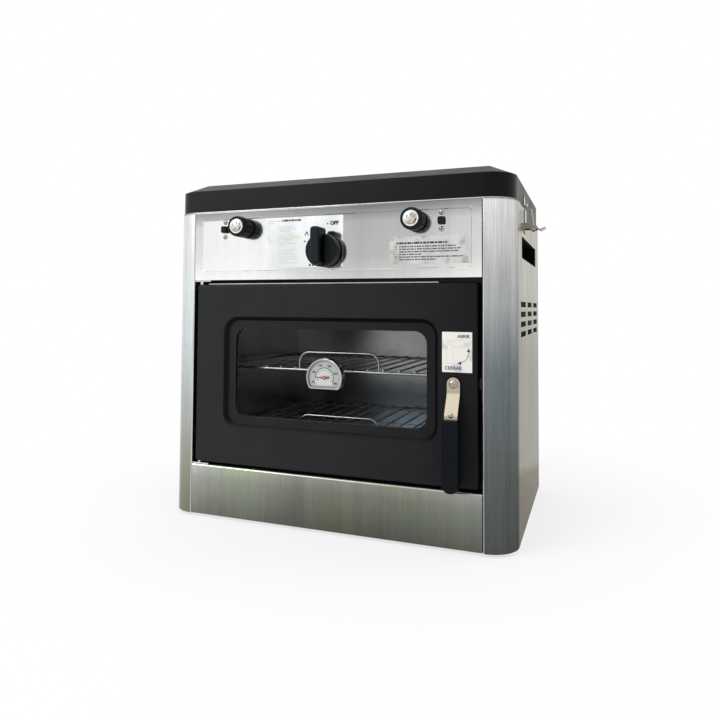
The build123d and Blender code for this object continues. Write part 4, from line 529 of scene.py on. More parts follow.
@dataclass(frozen=True)
class Foil(Finish):
    """Metallised label stock that lies a little uneven."""

    light: Colour = (0.88, 0.89, 0.88)
    dark: Colour = (0.6, 0.6, 0.59)
    blush: Colour = (0.42, 0.41, 0.39)
    metal: float = 0.75
    patches: Spot = (0.56, 0.7)

    def shader(self, graph: ShaderGraph) -> Signal:
        """Build the shader."""
        wave = graph.noise((30.0, 30.0, 16.0), 2.0, 0.5)
        patch = graph.noise(45.0, 2.0, 0.5).eased(*self.patches)
        base = graph.blend(patch, graph.blend(wave.eased(0.3, 0.7), self.dark, self.light), self.blush)
        return graph.principled(
            Base_Color=base,
            Metallic=self.metal,
            Roughness=(0.07 + 0.06 * wave).clamped(),
            Normal=graph.relief(wave, 0.1, 0.001),
        )


@dataclass(frozen=True)
class Ink(Finish):
    """Printed mark with slightly uneven ink."""

    colour: Colour = (0.012, 0.012, 0.012)
    faded: Colour = (0.03, 0.03, 0.03)
    rough: float = 0.5

    def shader(self, graph: ShaderGraph) -> Signal:
        """Build the shader."""
        speck = graph.noise(3000.0, 2.0, 0.7)
        return graph.principled(
            Base_Color=graph.blend(speck, self.colour, self.faded), Roughness=(self.rough + 0.1 * speck).clamped()
        )


def even(level: float) -> Colour:
    """Grey of one level."""
    return (level, level, level)


class Stock:
    """The finishes of this stove."""

    # control panel: painted reflection by height and across the width, a bright box of painted reflection inside the
    # bead, and a painted shadow band under the lid at the top
    front = BrushedSteel(
        "front_steel",
        heights=(
            (0.333, (0.74, 0.74, 0.73)),
            (0.346, (0.68, 0.68, 0.67)),
            (0.362, (0.58, 0.59, 0.58)),
            (0.408, (0.53, 0.54, 0.53)),
            (0.42, (0.36, 0.37, 0.36)),
            (0.4295, even(0.24)),
            (0.431, even(0.01)),
        ),
        spread=tuple(
            (place, even(gain))
            for place, gain in ((-0.206, 1.3), (-0.1, 1.28), (-0.02, 0.96), (0.05, 0.8), (0.12, 0.9), (0.206, 1.2))
        ),
        rough=0.12,
        streak=0.16,
        cloud=0.2,
        bump=0.05,
        pane=(-0.1945, 0.345, -0.065, 0.42),
    )
    # lower panel: painted reflection and shade, darker towards the bottom, lighter towards the left and at the top bend
    lower = BrushedSteel(
        "lower_steel",
        heights=(
            (0.004, (0.1, 0.105, 0.09)),
            (0.03, (0.145, 0.155, 0.13)),
            (0.055, (0.2, 0.21, 0.18)),
            (0.0735, (0.3, 0.31, 0.285)),
        ),
        spread=(
            (-0.206, (1.85, 1.84, 1.9)),
            (-0.05, (1.05, 1.05, 1.03)),
            (0.08, (0.85, 0.85, 0.83)),
            (0.206, (1.08, 1.08, 1.12)),
        ),
        rough=0.26,
        cloud=0.4,
        blush=(0.9, 0.95, 0.78),
    )
    # side sheets: painted reflection by height, warm brown low down where the side mirrors the floor, lighter upwards
    side_sheet = (
        (0.0, (0.1, 0.07, 0.05)),
        (0.04, (0.14, 0.11, 0.06)),
        (0.066, (0.19, 0.16, 0.09)),
        (0.079, (0.47, 0.465, 0.42)),
        (0.22, (0.49, 0.5, 0.46)),
        (0.25, (0.56, 0.57, 0.53)),
        (0.315, (0.82, 0.83, 0.79)),
        (0.432, (0.95, 0.95, 0.92)),
    )
    side = BrushedSteel(
        "side_steel_right",
        heights=side_sheet,
        # front post: painted reflection by height, with a painted shadow line under the lid at the top
        post=(
            (0.0, (0.07, 0.075, 0.07)),
            (0.1, (0.095, 0.105, 0.105)),
            (0.22, (0.15, 0.175, 0.185)),
            (0.32, (0.4, 0.41, 0.41)),
            (0.429, (0.74, 0.74, 0.73)),
            (0.431, even(0.02)),
        ),
        rough=0.26,
        streak=0.9,
        cloud=0.5,
        edge=(0.53, 0.52, 0.48),
        lean=0.2,
    )
    side_left = BrushedSteel(
        "side_steel_left",
        heights=side_sheet,
        # front post: painted reflection by height, with a painted shadow line under the lid at the top
        post=(
            (0.0, (0.17, 0.19, 0.14)),
            (0.07, (0.28, 0.3, 0.24)),
            (0.15, (0.44, 0.46, 0.44)),
            (0.25, (0.65, 0.71, 0.72)),
            (0.429, (0.8, 0.81, 0.8)),
            (0.431, even(0.02)),
        ),
        rough=0.24,
        streak=0.6,
        cloud=0.4,
        lean=0.2,
    )
    # oven liner: painted light and shade, darker at the left, lighter at the right, bluer low down
    inner = BrushedSteel(
        "inner_steel",
        Grain.DEEP,
        ((0.06, (0.4, 0.44, 0.49)), (0.1, (0.42, 0.46, 0.51)), (0.2, even(0.48)), (0.31, (0.44, 0.42, 0.38))),
        ((-0.19, even(0.5)), (-0.06, even(0.72)), (0.08, even(1.02)), (0.19, even(1.15))),
        rough=0.24,
        streak=0.3,
        cloud=0.5,
        bump=0.04,
        # depth in front of which the flange gets painted shade
        gap_shade_depth=-0.1268,
    )
    # oven floor: painted light and shade, dark at the left and bright at the right
    oven_floor = BrushedSteel(
        "floor_steel",
        Grain.ACROSS,
        ((0.06, (0.54, 0.59, 0.64)), (0.1, (0.58, 0.63, 0.68))),
        ((-0.19, even(0.3)), (-0.06, even(0.55)), (0.06, even(1.3)), (0.19, (1.62, 1.6, 1.58))),
        rough=0.3,
        streak=0.3,
        cloud=0.5,
        bump=0.05,
    )
    rear = BrushedSteel("rear_steel", heights=((0.0, (0.46, 0.46, 0.45)), (0.44, (0.52, 0.52, 0.51))), rough=0.34)
    hob = BrushedSteel("hob_steel", Grain.ACROSS, ((0.41, (0.5, 0.5, 0.49)), (0.44, (0.62, 0.62, 0.6))), rough=0.26)
    lid = SatinPaint(
        "lid_paint",
        (0.0075, 0.009, 0.0095),
        (0.014, 0.0145, 0.0145),
        0.42,
        gloss=0.11,
        # painted shade: darker and bluer towards the right
        painted_fade=((-0.245, even(1.0)), (-0.05, even(0.9)), (0.13, (0.55, 0.58, 0.62)), (0.205, (0.2, 0.24, 0.3))),
    )
    guard = SatinPaint("guard_paint", (0.06, 0.058, 0.05), (0.08, 0.078, 0.07), 0.5, gloss=0.1)
    door = SatinPaint(
        "door_paint",
        (0.0165, 0.0175, 0.0195),
        (0.024, 0.0245, 0.025),
        0.42,
        gloss=0.1,
        # painted shade in the pressed ring round the window, lighter low down
        step=(-0.1492, -0.1424),
        # painted shade: darker towards the right
        painted_fade=((-0.2, even(1.1)), (0.0, even(0.95)), (0.12, even(0.68)), (0.2, even(0.34))),
    )
    enamel = SatinPaint("enamel", (0.012, 0.012, 0.013), even(0.03), 0.25, 300.0, 0.4)
    # knob and grip get painted shade on their sides
    knob = Moulded("knob_plastic", (0.014, 0.017, 0.019), (0.018, 0.02, 0.022), 0.4, gloss=0.06, flank_shade=0.05)
    grip = Moulded("grip_plastic", (0.0035, 0.005, 0.0065), (0.008, 0.01, 0.012), 0.42, gloss=0.07, flank_shade=0.4)
    cup = Moulded("cup_plastic", even(0.003), even(0.006), 0.5, gloss=0.05)
    rubber = Moulded("rubber", even(0.02), (0.06, 0.06, 0.058), 0.75, 900.0)
    gasket = Moulded("gasket", even(0.03), (0.08, 0.08, 0.078), 0.85, 1400.0, 0.6)
    ceramic = Moulded("ceramic", (0.62, 0.6, 0.55), (0.5, 0.48, 0.43), 0.5, 900.0)
    arm = Plating("arm_steel", (0.57, 0.51, 0.4), (0.38, 0.33, 0.25), 0.36, 120.0, 0.12)
    nickel = Plating("latch_nickel", (0.6, 0.55, 0.47), (0.2, 0.175, 0.14), 0.18)
    lever = Plating("lever_nickel", (0.4, 0.36, 0.3), (0.13, 0.11, 0.09), 0.22, 260.0)
    bezel = Plating("bezel_chrome", (0.66, 0.66, 0.65), even(0.4), 0.16)
    # near black: painted shade of the gap beside the door
    keeper = Plating("keeper_steel", even(0.05), even(0.02), 0.4)
    chrome = Plating("chrome", (0.78, 0.77, 0.75), (0.6, 0.59, 0.57), 0.12)
    wire = Plating("rack_wire", (0.7, 0.68, 0.64), (0.45, 0.43, 0.4), 0.18)
    # lower rack: painted light and shade, dark at the left and bright at the right like the oven floor
    low_wire = BrushedSteel(
        "low_rack_wire",
        Grain.DEEP,
        ((0.11, (0.42, 0.45, 0.49)), (0.15, (0.55, 0.57, 0.6))),
        ((-0.19, even(0.3)), (-0.06, even(0.6)), (0.06, even(1.3)), (0.19, (1.7, 1.7, 1.66))),
        rough=0.5,
        streak=0.2,
        cloud=0.2,
        bump=0.04,
    )
    zinc = Plating("zinc", (0.5, 0.49, 0.47), (0.34, 0.33, 0.31), 0.34)
    brass = Plating("brass", (0.62, 0.46, 0.2), (0.42, 0.3, 0.12), 0.3)
    cast = Plating("cast_aluminium", even(0.5), even(0.34), 0.5, 220.0, 0.4)
    disc = Plating("knob_disc", (0.7, 0.7, 0.62), (0.42, 0.42, 0.37), 0.3, 420.0)
    # darker grey for wedges of painted reflection on the knob discs
    satin = Plating("knob_sheen", (0.4, 0.4, 0.37), (0.26, 0.26, 0.24), 0.2, 420.0)
    glass = OvenGlass("oven_glass")
    foil = Foil("foil", (0.95, 0.96, 0.95), (0.79, 0.84, 0.86), (0.78, 0.78, 0.66), 1.0)
    foil_right = Foil("foil_right", (0.7, 0.7, 0.69), (0.5, 0.5, 0.49), (0.4, 0.39, 0.37))
    card = Foil("card", (0.86, 0.83, 0.76), (0.8, 0.77, 0.72), (0.58, 0.58, 0.62), 0.0, (0.5, 0.6))
    ring = Ink("dial_ring", (0.36, 0.38, 0.37), (0.46, 0.48, 0.47), 0.4)
    dial = Ink("dial_paint", (0.62, 0.66, 0.63), (0.52, 0.55, 0.53), 0.45)
    white = Ink("white_ink", (0.85, 0.85, 0.84), (0.78, 0.78, 0.77), 0.4)
    ink = Ink("black_ink")
    small_ink = Ink("small_ink", even(0.06), even(0.1))
    grey = Ink("grey_ink", even(0.25), even(0.32))
    pale = Ink("pale_ink", (0.5, 0.5, 0.49), (0.6, 0.6, 0.58))
    red = Ink("red_ink", (0.3, 0.018, 0.03), (0.36, 0.04, 0.05))
    maroon = Ink("maroon_ink", (0.09, 0.008, 0.01), (0.14, 0.015, 0.02))


def bent_path(points: Sequence[Sequence[float]], radius: float, closed: bool = False, steps: int = 7) -> list[Vector]:
    """Round the corners of a line.

    Args:
        points: Corners in millimetres.
        radius: Radius of each bend.
        closed: Whether the line returns to its start.
        steps: Points to a bend.

    Returns:
        Points along the bent line.
    """
    corners = [Vector(point) for point in points]
    count = len(corners)
    path: list[Vector] = []
    for i, corner in enumerate(corners):
        if not closed and i in (0, count - 1):
            path.append(corner)
            continue
        back = (corners[i - 1] - corner).normalized()
        ahead = (corners[(i + 1) % count] - corner).normalized()
        half = back.angle(ahead) / 2
        centre = corner + (back + ahead).normalized() * (radius / math.sin(half))
        first = corner + back * (radius / math.tan(half)) - centre
        last = corner + ahead * (radius / math.tan(half)) - centre
        for step in range(steps + 1):
            path.append(centre + first.normalized().slerp(last.normalized(), step / steps) * radius)
    return path


class Workpiece:
    """A mesh in the making, drawn in millimetres of the row frame."""

    def __init__(self, name: str) -> None:
        """Start an empty mesh."""
        self.name = name
        self.mesh = bmesh.new()

    def tube(self, path: Sequence[Vector], radius: float, sides: int, closed: bool = False) -> None:
        """Add a round wire.

        Args:
            path: Points along its middle.
            radius: Radius of the wire.
            sides: Sides of its section.
            closed: Whether it is a ring.
        """
        count = len(path)
        rings = []
        side: Vector | None = None
        for i, point in enumerate(path):
            before = path[i - 1] if closed or i else point
            after = path[(i + 1) % count] if closed or i < count - 1 else point
            along = (after - before).normalized()
            if side is None:
                side = along.cross(SKEW).normalized()
            side = (side - along * side.dot(along)).normalized()
            up = along.cross(side)
            turns = [2 * math.pi * k / sides for k in range(sides)]
            rings.append([self.mesh.verts.new(point + (side * math.cos(a) + up * math.sin(a)) * radius) for a in turns])
        for i in range(count if closed else count - 1):
            one, two = rings[i], rings[(i + 1) % count]
            shift = 0
            if closed and i == count - 1:
                shift = min(range(sides), key=lambda s: (one[0].co - two[s].co).length)
            for k in range(sides):
                n = (k + 1) % sides
                self.mesh.faces.new((one[k], one[n], two[(n + shift) % sides], two[(k + shift) % sides]))
        if not closed:
            self.mesh.faces.new(rings[0][::-1])
            self.mesh.faces.new(rings[-1])

    def turned(self, centre: Sequence[float], profile: Sequence[Spot], axis: Vector, segments: int) -> None:
        """Add a turned form.

        Args:
            centre: Point on the axis that heights are counted from.
            profile: Radius and height of each ring, from the first end to the last.
            axis: Direction of the axis.
            segments: Segments round the axis.
        """
        side = axis.orthogonal().normalized()
        up = axis.cross(side)
        origin = Vector(centre)
        rings: list[list[bmesh.types.BMVert]] = []
        for radius, height in profile:
            base = origin + axis * height
            if radius <= 0:
                rings.append([self.mesh.verts.new(base)])
                continue
            turns = [2 * math.pi * k / segments for k in range(segments)]
            rings.append([self.mesh.verts.new(base + (side * math.cos(a) + up * math.sin(a)) * radius) for a in turns])
        for one, two in zip(rings, rings[1:]):
            for k in range(segments):
                n = (k + 1) % segments
                corners = [one[k % len(one)], one[n % len(one)], two[n % len(two)], two[k % len(two)]]
                unique = list(dict.fromkeys(corners))
                if len(unique) > 2:
                    self.mesh.faces.new(unique)

    def done(self, finish: Finish, body: str, slot: str, replaces: Sequence[str] = ()) -> None:
        """Turn the mesh into a piece of the object.

        Args:
            finish: Its finish.
            body: CAD body that it rides on.
            slot: Material slot of the record, which is not used.
            replaces: CAD nodes that it stands for.
        """
        bmesh.ops.remove_doubles(self.mesh, verts=self.mesh.verts, dist=WELD)
        bmesh.ops.recalc_face_normals(self.mesh, faces=self.mesh.faces)
        bmesh.ops.scale(self.mesh, verts=self.mesh.verts, vec=(MM, MM, MM))
        data = bpy.data.meshes.new(self.name)
        self.mesh.to_mesh(data)
        self.mesh.free()
        data.materials.append(finish.material())
        made = bpy.data.objects.new(self.name, data)
        bpy.context.scene.collection.objects.link(made)
        for polygon in data.polygons:
            polygon.use_smooth = True
        data.set_sharp_from_angle(angle=SHARP)
        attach(made, body)
        if replaces:
            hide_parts(*replaces)
        LOG.info("%s on %s", self.name, body)


class FlatWork(Workpiece):
    """Flat work drawn on one plane: a plate, printed marks or lettering."""

    def __init__(self, name: str, facing: Facing, level: float, thickness: float = PRINT) -> None:
        """Start an empty mesh.

        Args:
            name: Its name.
            facing: Drawing plane.
            level: Place of its back along the plane's normal.
            thickness: Its thickness.
        """
        super().__init__(name)
        self.facing, self.level, self.thickness = facing, level, thickness

    def plate(self, outline: Iterable[Spot]) -> None:
        """Add a plate.

        Args:
            outline: Its corners in the drawing plane.
        """
        right, up, out = self.facing.value
        back = [self.mesh.verts.new(right * a + up * b + out * self.level) for a, b in outline]
        front = [self.mesh.verts.new(vert.co + out * self.thickness) for vert in back]
        self.mesh.faces.new(front)
        self.mesh.faces.new(back[::-1])
        for i in range(len(back)):
            n = (i + 1) % len(back)
            self.mesh.faces.new((back[i], back[n], front[n], front[i]))

    def band(self, centre: Spot, radii: Spot, turn: Spot = (0, 360)) -> None:
        """Add an arc, or a whole ring or dot.

        Args:
            centre: Its centre in the drawing plane.
            radii: Inner and outer radius.
            turn: First and last angle in degrees, against the clock from the right.
        """
        steps = max(2, round(abs(turn[1] - turn[0]) / ARC_STEP))
        angles = [math.radians(turn[0] + (turn[1] - turn[0]) * i / steps) for i in range(steps + 1)]
        for one, two in zip(angles, angles[1:]):
            ring = [(radii[0], one), (radii[1], one), (radii[1], two), (radii[0], two)]
            self.plate([(centre[0] + r * math.cos(a), centre[1] + r * math.sin(a)) for r, a in ring])

    def bar(self, left: float, low: float, right: float, high: float) -> None:
        """Add a bar between its left, bottom, right and top."""
        self.plate([(left, low), (right, low), (right, high), (left, high)])

    def cross(self, x: float, z: float, long: float, wide: float) -> None:
        """Add the two bars of a cross-head screw's recess, drawn flat as painted shade.

        Args:
            x: Middle of the cross.
            z: Height of its middle.
            long: Half its length.
            wide: Half the width of a bar.
        """
        self.bar(x - long, z - wide, x + long, z + wide)
        self.bar(x - wide, z - long, x + wide, z + long)

    def letters(self, words: str, height: float, spot: Spot, bold: float) -> None:
        """Add lettering.

        Args:
            words: What it says.
            height: Height of a capital.
            spot: Middle of the line in the drawing plane.
            bold: Growth of its strokes.
        """
        curve = bpy.data.curves.new(self.name + "_text", "FONT")
        curve.body = words
        curve.size = height / CAPITAL
        curve.align_x = "CENTER"
        curve.extrude = PRINT / 2
        curve.offset = bold
        holder = bpy.data.objects.new(self.name + "_text", curve)
        bpy.context.scene.collection.objects.link(holder)
        bpy.context.view_layer.update()
        flat = bpy.data.meshes.new_from_object(holder.evaluated_get(bpy.context.evaluated_depsgraph_get()))
        right, up, out = self.facing.value
        turn = Matrix((right, up, out)).transposed().to_4x4()
        middle = right * spot[0] + up * (spot[1] - height / 2) + out * (self.level + PRINT / 2)
        flat.transform(Matrix.Translation(middle) @ turn)
        self.mesh.from_mesh(flat)
        bpy.data.objects.remove(holder)
        bpy.data.curves.remove(curve)
        bpy.data.meshes.remove(flat)


def dress(frame: dict[str, Any], finish: Finish, *nodes: str) -> None:
    """Give CAD nodes a finish.

    Args:
        frame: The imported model.
        finish: The finish.
        *nodes: Names of the nodes.
    """
    for node in nodes:
        for place in frame["nodes"][node].material_slots:
            place.material = finish.material()
        LOG.info("%s has %s", node, finish.name)


def rounded_box(left: float, low: float, right: float, high: float, radius: float) -> list[Spot]:
    """Outline of a rectangle with rounded corners.

    Args:
        left: Left side.
        low: Bottom.
        right: Right side.
        high: Top.
        radius: Radius of the corners.

    Returns:
        Its corners.
    """
    corners = [(left, low, 0), (right, low, 0), (right, high, 0), (left, high, 0)]
    return [(point.x, point.y) for point in bent_path(corners, radius, True, 5)]


@dataclass
class Casing:
    """Sheet-metal body with its hand holds and feet."""

    def build(self, frame: dict[str, Any]) -> None:
        """Dress the casing."""
        dress(frame, Stock.side_left, "side_panel_left")
        dress(frame, Stock.side, "side_panel_right")
        dress(frame, Stock.front, "control_panel")
        dress(frame, Stock.lower, "lower_front_panel")
        dress(frame, Stock.rear, "rear_panel", "base_pan")
        dress(frame, Stock.cup, "hand_hold_cups")
        dress(frame, Stock.rubber, "rubber_feet")


@dataclass
class Controls:
    """Knobs, igniters and printed plates of the control panel."""

    front_y: float = -152.5
    foil_depth: float = 0.15
    knob_x: float = 123.0
    knob_z: float = 406.0
    face_y: float = -177.9
    disc_radius: float = 10.0
    disc_height: float = 0.42
    igniter_x: float = 156.0
    igniter_z: float = 405.0
    screw_spacing: float = 21.0
    screw_radius: float = 3.5
    screw_end: float = -4.9
    bead: tuple[Spot, ...] = ((193.6, 0.0), (193.1, 0.5))
    dashes: tuple[float, ...] = (4.2, 2.4, 6.0, 3.1, 5.2, 1.9, 7.0, 2.8)
    left_lines: tuple[int, ...] = (24, 26, 15, 0, 20, 26, 22, 14, 25, 9, 0, 26, 22, 27, 25, 29, 14, 28)
    right_lines: tuple[int, ...] = (74, 79, 76, 30, 82, 48)
    foot_marks: tuple[float, ...] = (2.9, 2.2, 3.0, 2.4, 2.8, 2.2)

    def build(self, frame: dict[str, Any]) -> None:
        """Make the controls."""
        buttons = ("igniter_button_left", "igniter_button_right")
        dress(frame, Stock.knob, "knob_left", "knob_right", "knob_oven", *buttons)
        dress(frame, Stock.ceramic, "igniter_bodies")
        dress(frame, Stock.brass, "spindle_left", "spindle_right", "spindle_oven")
        for side, sign in (("left", -1), ("right", 1)):
            self.knob_face(side, sign * self.knob_x)
        self.screws()
        self.plates()
        self.marks()

    def knob_face(self, side: str, x: float) -> None:
        """Make the printed metal disc of a knob, with wedges of painted reflection on it.

        Args:
            side: Side of the stove.
            x: Place of the knob.
        """
        body, z = f"knob_{side}", self.knob_z
        edge, top = self.disc_radius, self.disc_height
        disc = Workpiece(f"knob_disc_{side}")
        profile = [(0.0, 0.0), (edge, 0.0), (edge, 0.1), (edge - 0.5, top), (0.0, top)]
        disc.turned((x, self.face_y, z), profile, FORWARD, 56)
        disc.done(Stock.disc, body, "chrome")
        rim, sheen, marks, thin, thick = (
            FlatWork(f"knob_{name}_{side}", Facing.FRONT, top - self.face_y)
            for name in ("rim", "sheen", "marks", "arc", "wedge")
        )
        rim.band((x, z), (8.5, 9.7))
        rim.done(Stock.white, body, "chrome")
        # wedges of painted reflection: the disc's brushed sheen
        for turn in ((62, 84), (96, 104), (158, 176), (238, 262), (12, 26)):
            sheen.band((x, z), (0.9, 6.2), turn)
        sheen.done(Stock.satin, body, "chrome")
        for i in range(9):
            marks.band((x, z), (6.9, 7.8), (150 - 15 * i, 153 - 15 * i))
        marks.bar(x - 0.5, z + 3.0, x + 0.5, z + 6.4)
        marks.band((x - 4.6, z + 3.2), (0.0, 1.2))
        marks.band((x + 4.8, z + 3.2), (0.5, 1.4))
        marks.done(Stock.grey, body, "black_plastic")
        thin.band((x, z), (6.7, 7.4), (222, 300))
        thin.done(Stock.red, body, "pointer")
        thick.band((x, z), (6.1, 7.6), (300, 325))
        thick.band((x, z), (5.7, 7.7), (325, 355))
        thick.done(Stock.maroon, body, "pointer")

    def screws(self) -> None:
        """Make the cross-head screws of the igniters, with their recesses as crosses of painted shade."""
        heads = Workpiece("igniter_screws")
        # black crosses: painted shade in the screws' cross recesses
        slots = FlatWork("igniter_screw_crosses", Facing.FRONT, 1.2 - self.front_y, 0.74)
        radius, end = self.screw_radius, self.screw_end
        dome = [(0.0, 1.9), (1.2, 1.85), (2.3, 1.5), (3.1, 0.9), (radius, 0.2)]
        shank = [(radius, 0.0), (1.6, 0.0), (1.6, end), (0.0, end)]
        for x in (-self.igniter_x, self.igniter_x):
            for side in (-1, 1):
                z = self.igniter_z + side * self.screw_spacing / 2
                heads.turned((x, self.front_y, z), [*dome, *shank], FORWARD, 28)
                slots.cross(x, z, 2.0, 0.35)
        heads.done(Stock.zinc, "casing", "steel", ["panel_screws"])
        slots.done(Stock.ink, "casing", "steel")

    def plates(self) -> None:
        """Make the two metallised plates with their ruled lines, and a painted shade line along the panel's bead."""
        level = -self.front_y
        for name, box, finish in (
            ("left", (-92.5, 350.0, 24.0, 418.5), Stock.foil),
            ("right", (88.2, 351.6, 192.5, 386.3), Stock.foil_right),
        ):
            plate = FlatWork(f"panel_plate_{name}", Facing.FRONT, level, self.foil_depth)
            plate.plate(rounded_box(*box, 1.5))
            plate.done(finish, "casing", "stainless")
        # painted shade line along the bead
        bead = FlatWork("panel_bead_line", Facing.FRONT, level, 0.05)
        outer, inner = (rounded_box(-half, 346.0 + step, half, 419.2 - step, 4.6 - step) for half, step in self.bead)
        for i in range(len(outer)):
            n = (i + 1) % len(outer)
            bead.plate([outer[i], outer[n], inner[n], inner[i]])
        bead.done(Stock.grey, "casing", "black_plastic")
        rules, headings, notes = (
            FlatWork(f"plate_{name}", Facing.FRONT, level + self.foil_depth) for name in ("rules", "headings", "notes")
        )
        self.ruled(headings, (-66.0, 412.7, -37.5, 415.2))
        self.ruled(headings, (97.5, 376.7, 162.8, 379.1))
        self.ruled(rules, (-88.0, 413.2, -66.5, 414.5))
        self.ruled(rules, (-88.0, 410.0, -77.0, 411.2))
        for i, long in enumerate(self.left_lines):
            if long:
                left, z = -72.0 + (i % 3), 405.0 - 2.9 * i
                self.ruled(rules, (left, z, left + long, z + 0.9))
        for i, long in enumerate(self.right_lines):
            z = 374.6 - 3.3 * i
            self.ruled(notes, (101.0, z - 1.9, 101.0 + long, z - 0.3))
            if i in (0, 1, 4):
                notes.bar(96.0, z - 1.6, 97.6, z - 0.4)
        rules.done(Stock.pale, "casing", "black_plastic")
        headings.done(Stock.ink, "casing", "black_plastic")
        notes.done(Stock.small_ink, "casing", "black_plastic")

    def ruled(self, piece: FlatWork, box: Box) -> None:
        """Rule a broken line that stands for small print.

        Args:
            piece: Piece that takes the bars.
            box: Left, bottom, right and top of the line.
        """
        left, low, right, high = box
        turn = round(low)
        while left < right - 1.0:
            end = min(left + self.dashes[turn % len(self.dashes)], right)
            piece.bar(left, low, end, high)
            left, turn = end + 0.9, turn + 1

    def marks(self) -> None:
        """Print the dial marks round the oven knob."""
        marks = FlatWork("oven_dial_marks", Facing.FRONT, -self.front_y + self.foil_depth)
        marks.letters("OFF", 4.9, (11.4, 408.2), 0.46)
        marks.band((1.7, 407.4), (0.0, 1.1))
        for foot in (-31.4, -26.2):
            marks.plate([(-29.6, 397.9), (-28.0, 397.9), (foot + 0.7, 392.4), (foot - 0.7, 392.4)])
        marks.bar(-33.0, 383.6, -30.4, 385.6)
        for i, high in enumerate(self.foot_marks):
            marks.bar(-25.2 + 4.6 * i, 351.2, -22.4 + 4.6 * i, 351.2 + high)
        marks.done(Stock.ink, "casing", "black_plastic")


@dataclass
class Thermometer:
    """Door thermometer: printed dial, scale, rim, painted shade on the bezel's inner slope and the needle's hub."""

    centre: Spot = (-1.65, 203.25)
    dial_y: float = -151.5
    radius: float = 25.4
    drop: float = 15.2
    ticks: int = 12
    figures: tuple[str, ...] = ("50", "100", "150", "200", "250", "300")

    def build(self, frame: dict[str, Any]) -> None:
        """Make the thermometer's marks."""
        dress(frame, Stock.bezel, "thermometer_case")
        dress(frame, Stock.dial, "thermometer_dial")
        dress(frame, Stock.red, "thermometer_pointer")
        level = -self.dial_y
        # the outer grey ring is painted shade on the inner slope of the bezel
        sheets = (("slope", 2.4, 0.06, Stock.grey), ("ring", 4.2, 0.12, Stock.ring), ("face", 11.2, 0.18, Stock.dial))
        for name, inset, thickness, finish in sheets:
            sheet = FlatWork(f"thermometer_{name}", Facing.FRONT, level, thickness)
            sheet.plate(self.outline(inset))
            sheet.done(finish, "door", "dial")
        rim = Workpiece("thermometer_rim")
        rim.tube([Vector((x, self.dial_y - 0.1, z)) for x, z in self.outline(1.2)], 1.1, 10, True)
        rim.done(Stock.chrome, "door", "dial")
        x, z = self.centre
        scale = FlatWork("thermometer_scale", Facing.FRONT, level + 0.18)
        scale.band((x, z), (12.5, 13.6), (-30, 187))
        for i in range(self.ticks):
            angle = 196 - 216 * i / (self.ticks - 1)
            scale.band((x, z), (9.6, 10.9), (angle - 3.2, angle + 3.2))
        for i, figure in enumerate(self.figures):
            angle = math.radians(200 - 224 * i / (len(self.figures) - 1))
            scale.letters(figure, 2.7, (x + 16.9 * math.cos(angle), z + 16.9 * math.sin(angle)), 0.12)
        scale.done(Stock.ink, "door", "black_plastic")
        hub = FlatWork("thermometer_hub", Facing.FRONT, level + 0.62, 0.5)
        hub.turned((x, self.dial_y - 0.6, z), [(0.0, 1.2), (1.4, 1.0), (2.0, 0.5), (2.0, 0.1)], FORWARD, 24)
        hub.plate([(-0.6, 202.2), (5.6, 202.7), (5.6, 205.4), (-0.6, 204.6)])
        hub.done(Stock.red, "thermometer_needle", "pointer")

    def outline(self, inset: float) -> list[Spot]:
        """Outline of the dial, a circle with a flat foot.

        Args:
            inset: Distance inside the case's outline.

        Returns:
            Its corners.
        """
        radius = self.radius - inset
        foot = math.asin(-min(self.drop - min(inset, 5.0), radius - 0.2) / radius)
        turns = [foot + (math.pi - 2 * foot) * i / 40 for i in range(41)]
        return [(self.centre[0] + radius * math.cos(a), self.centre[1] + radius * math.sin(a)) for a in turns]


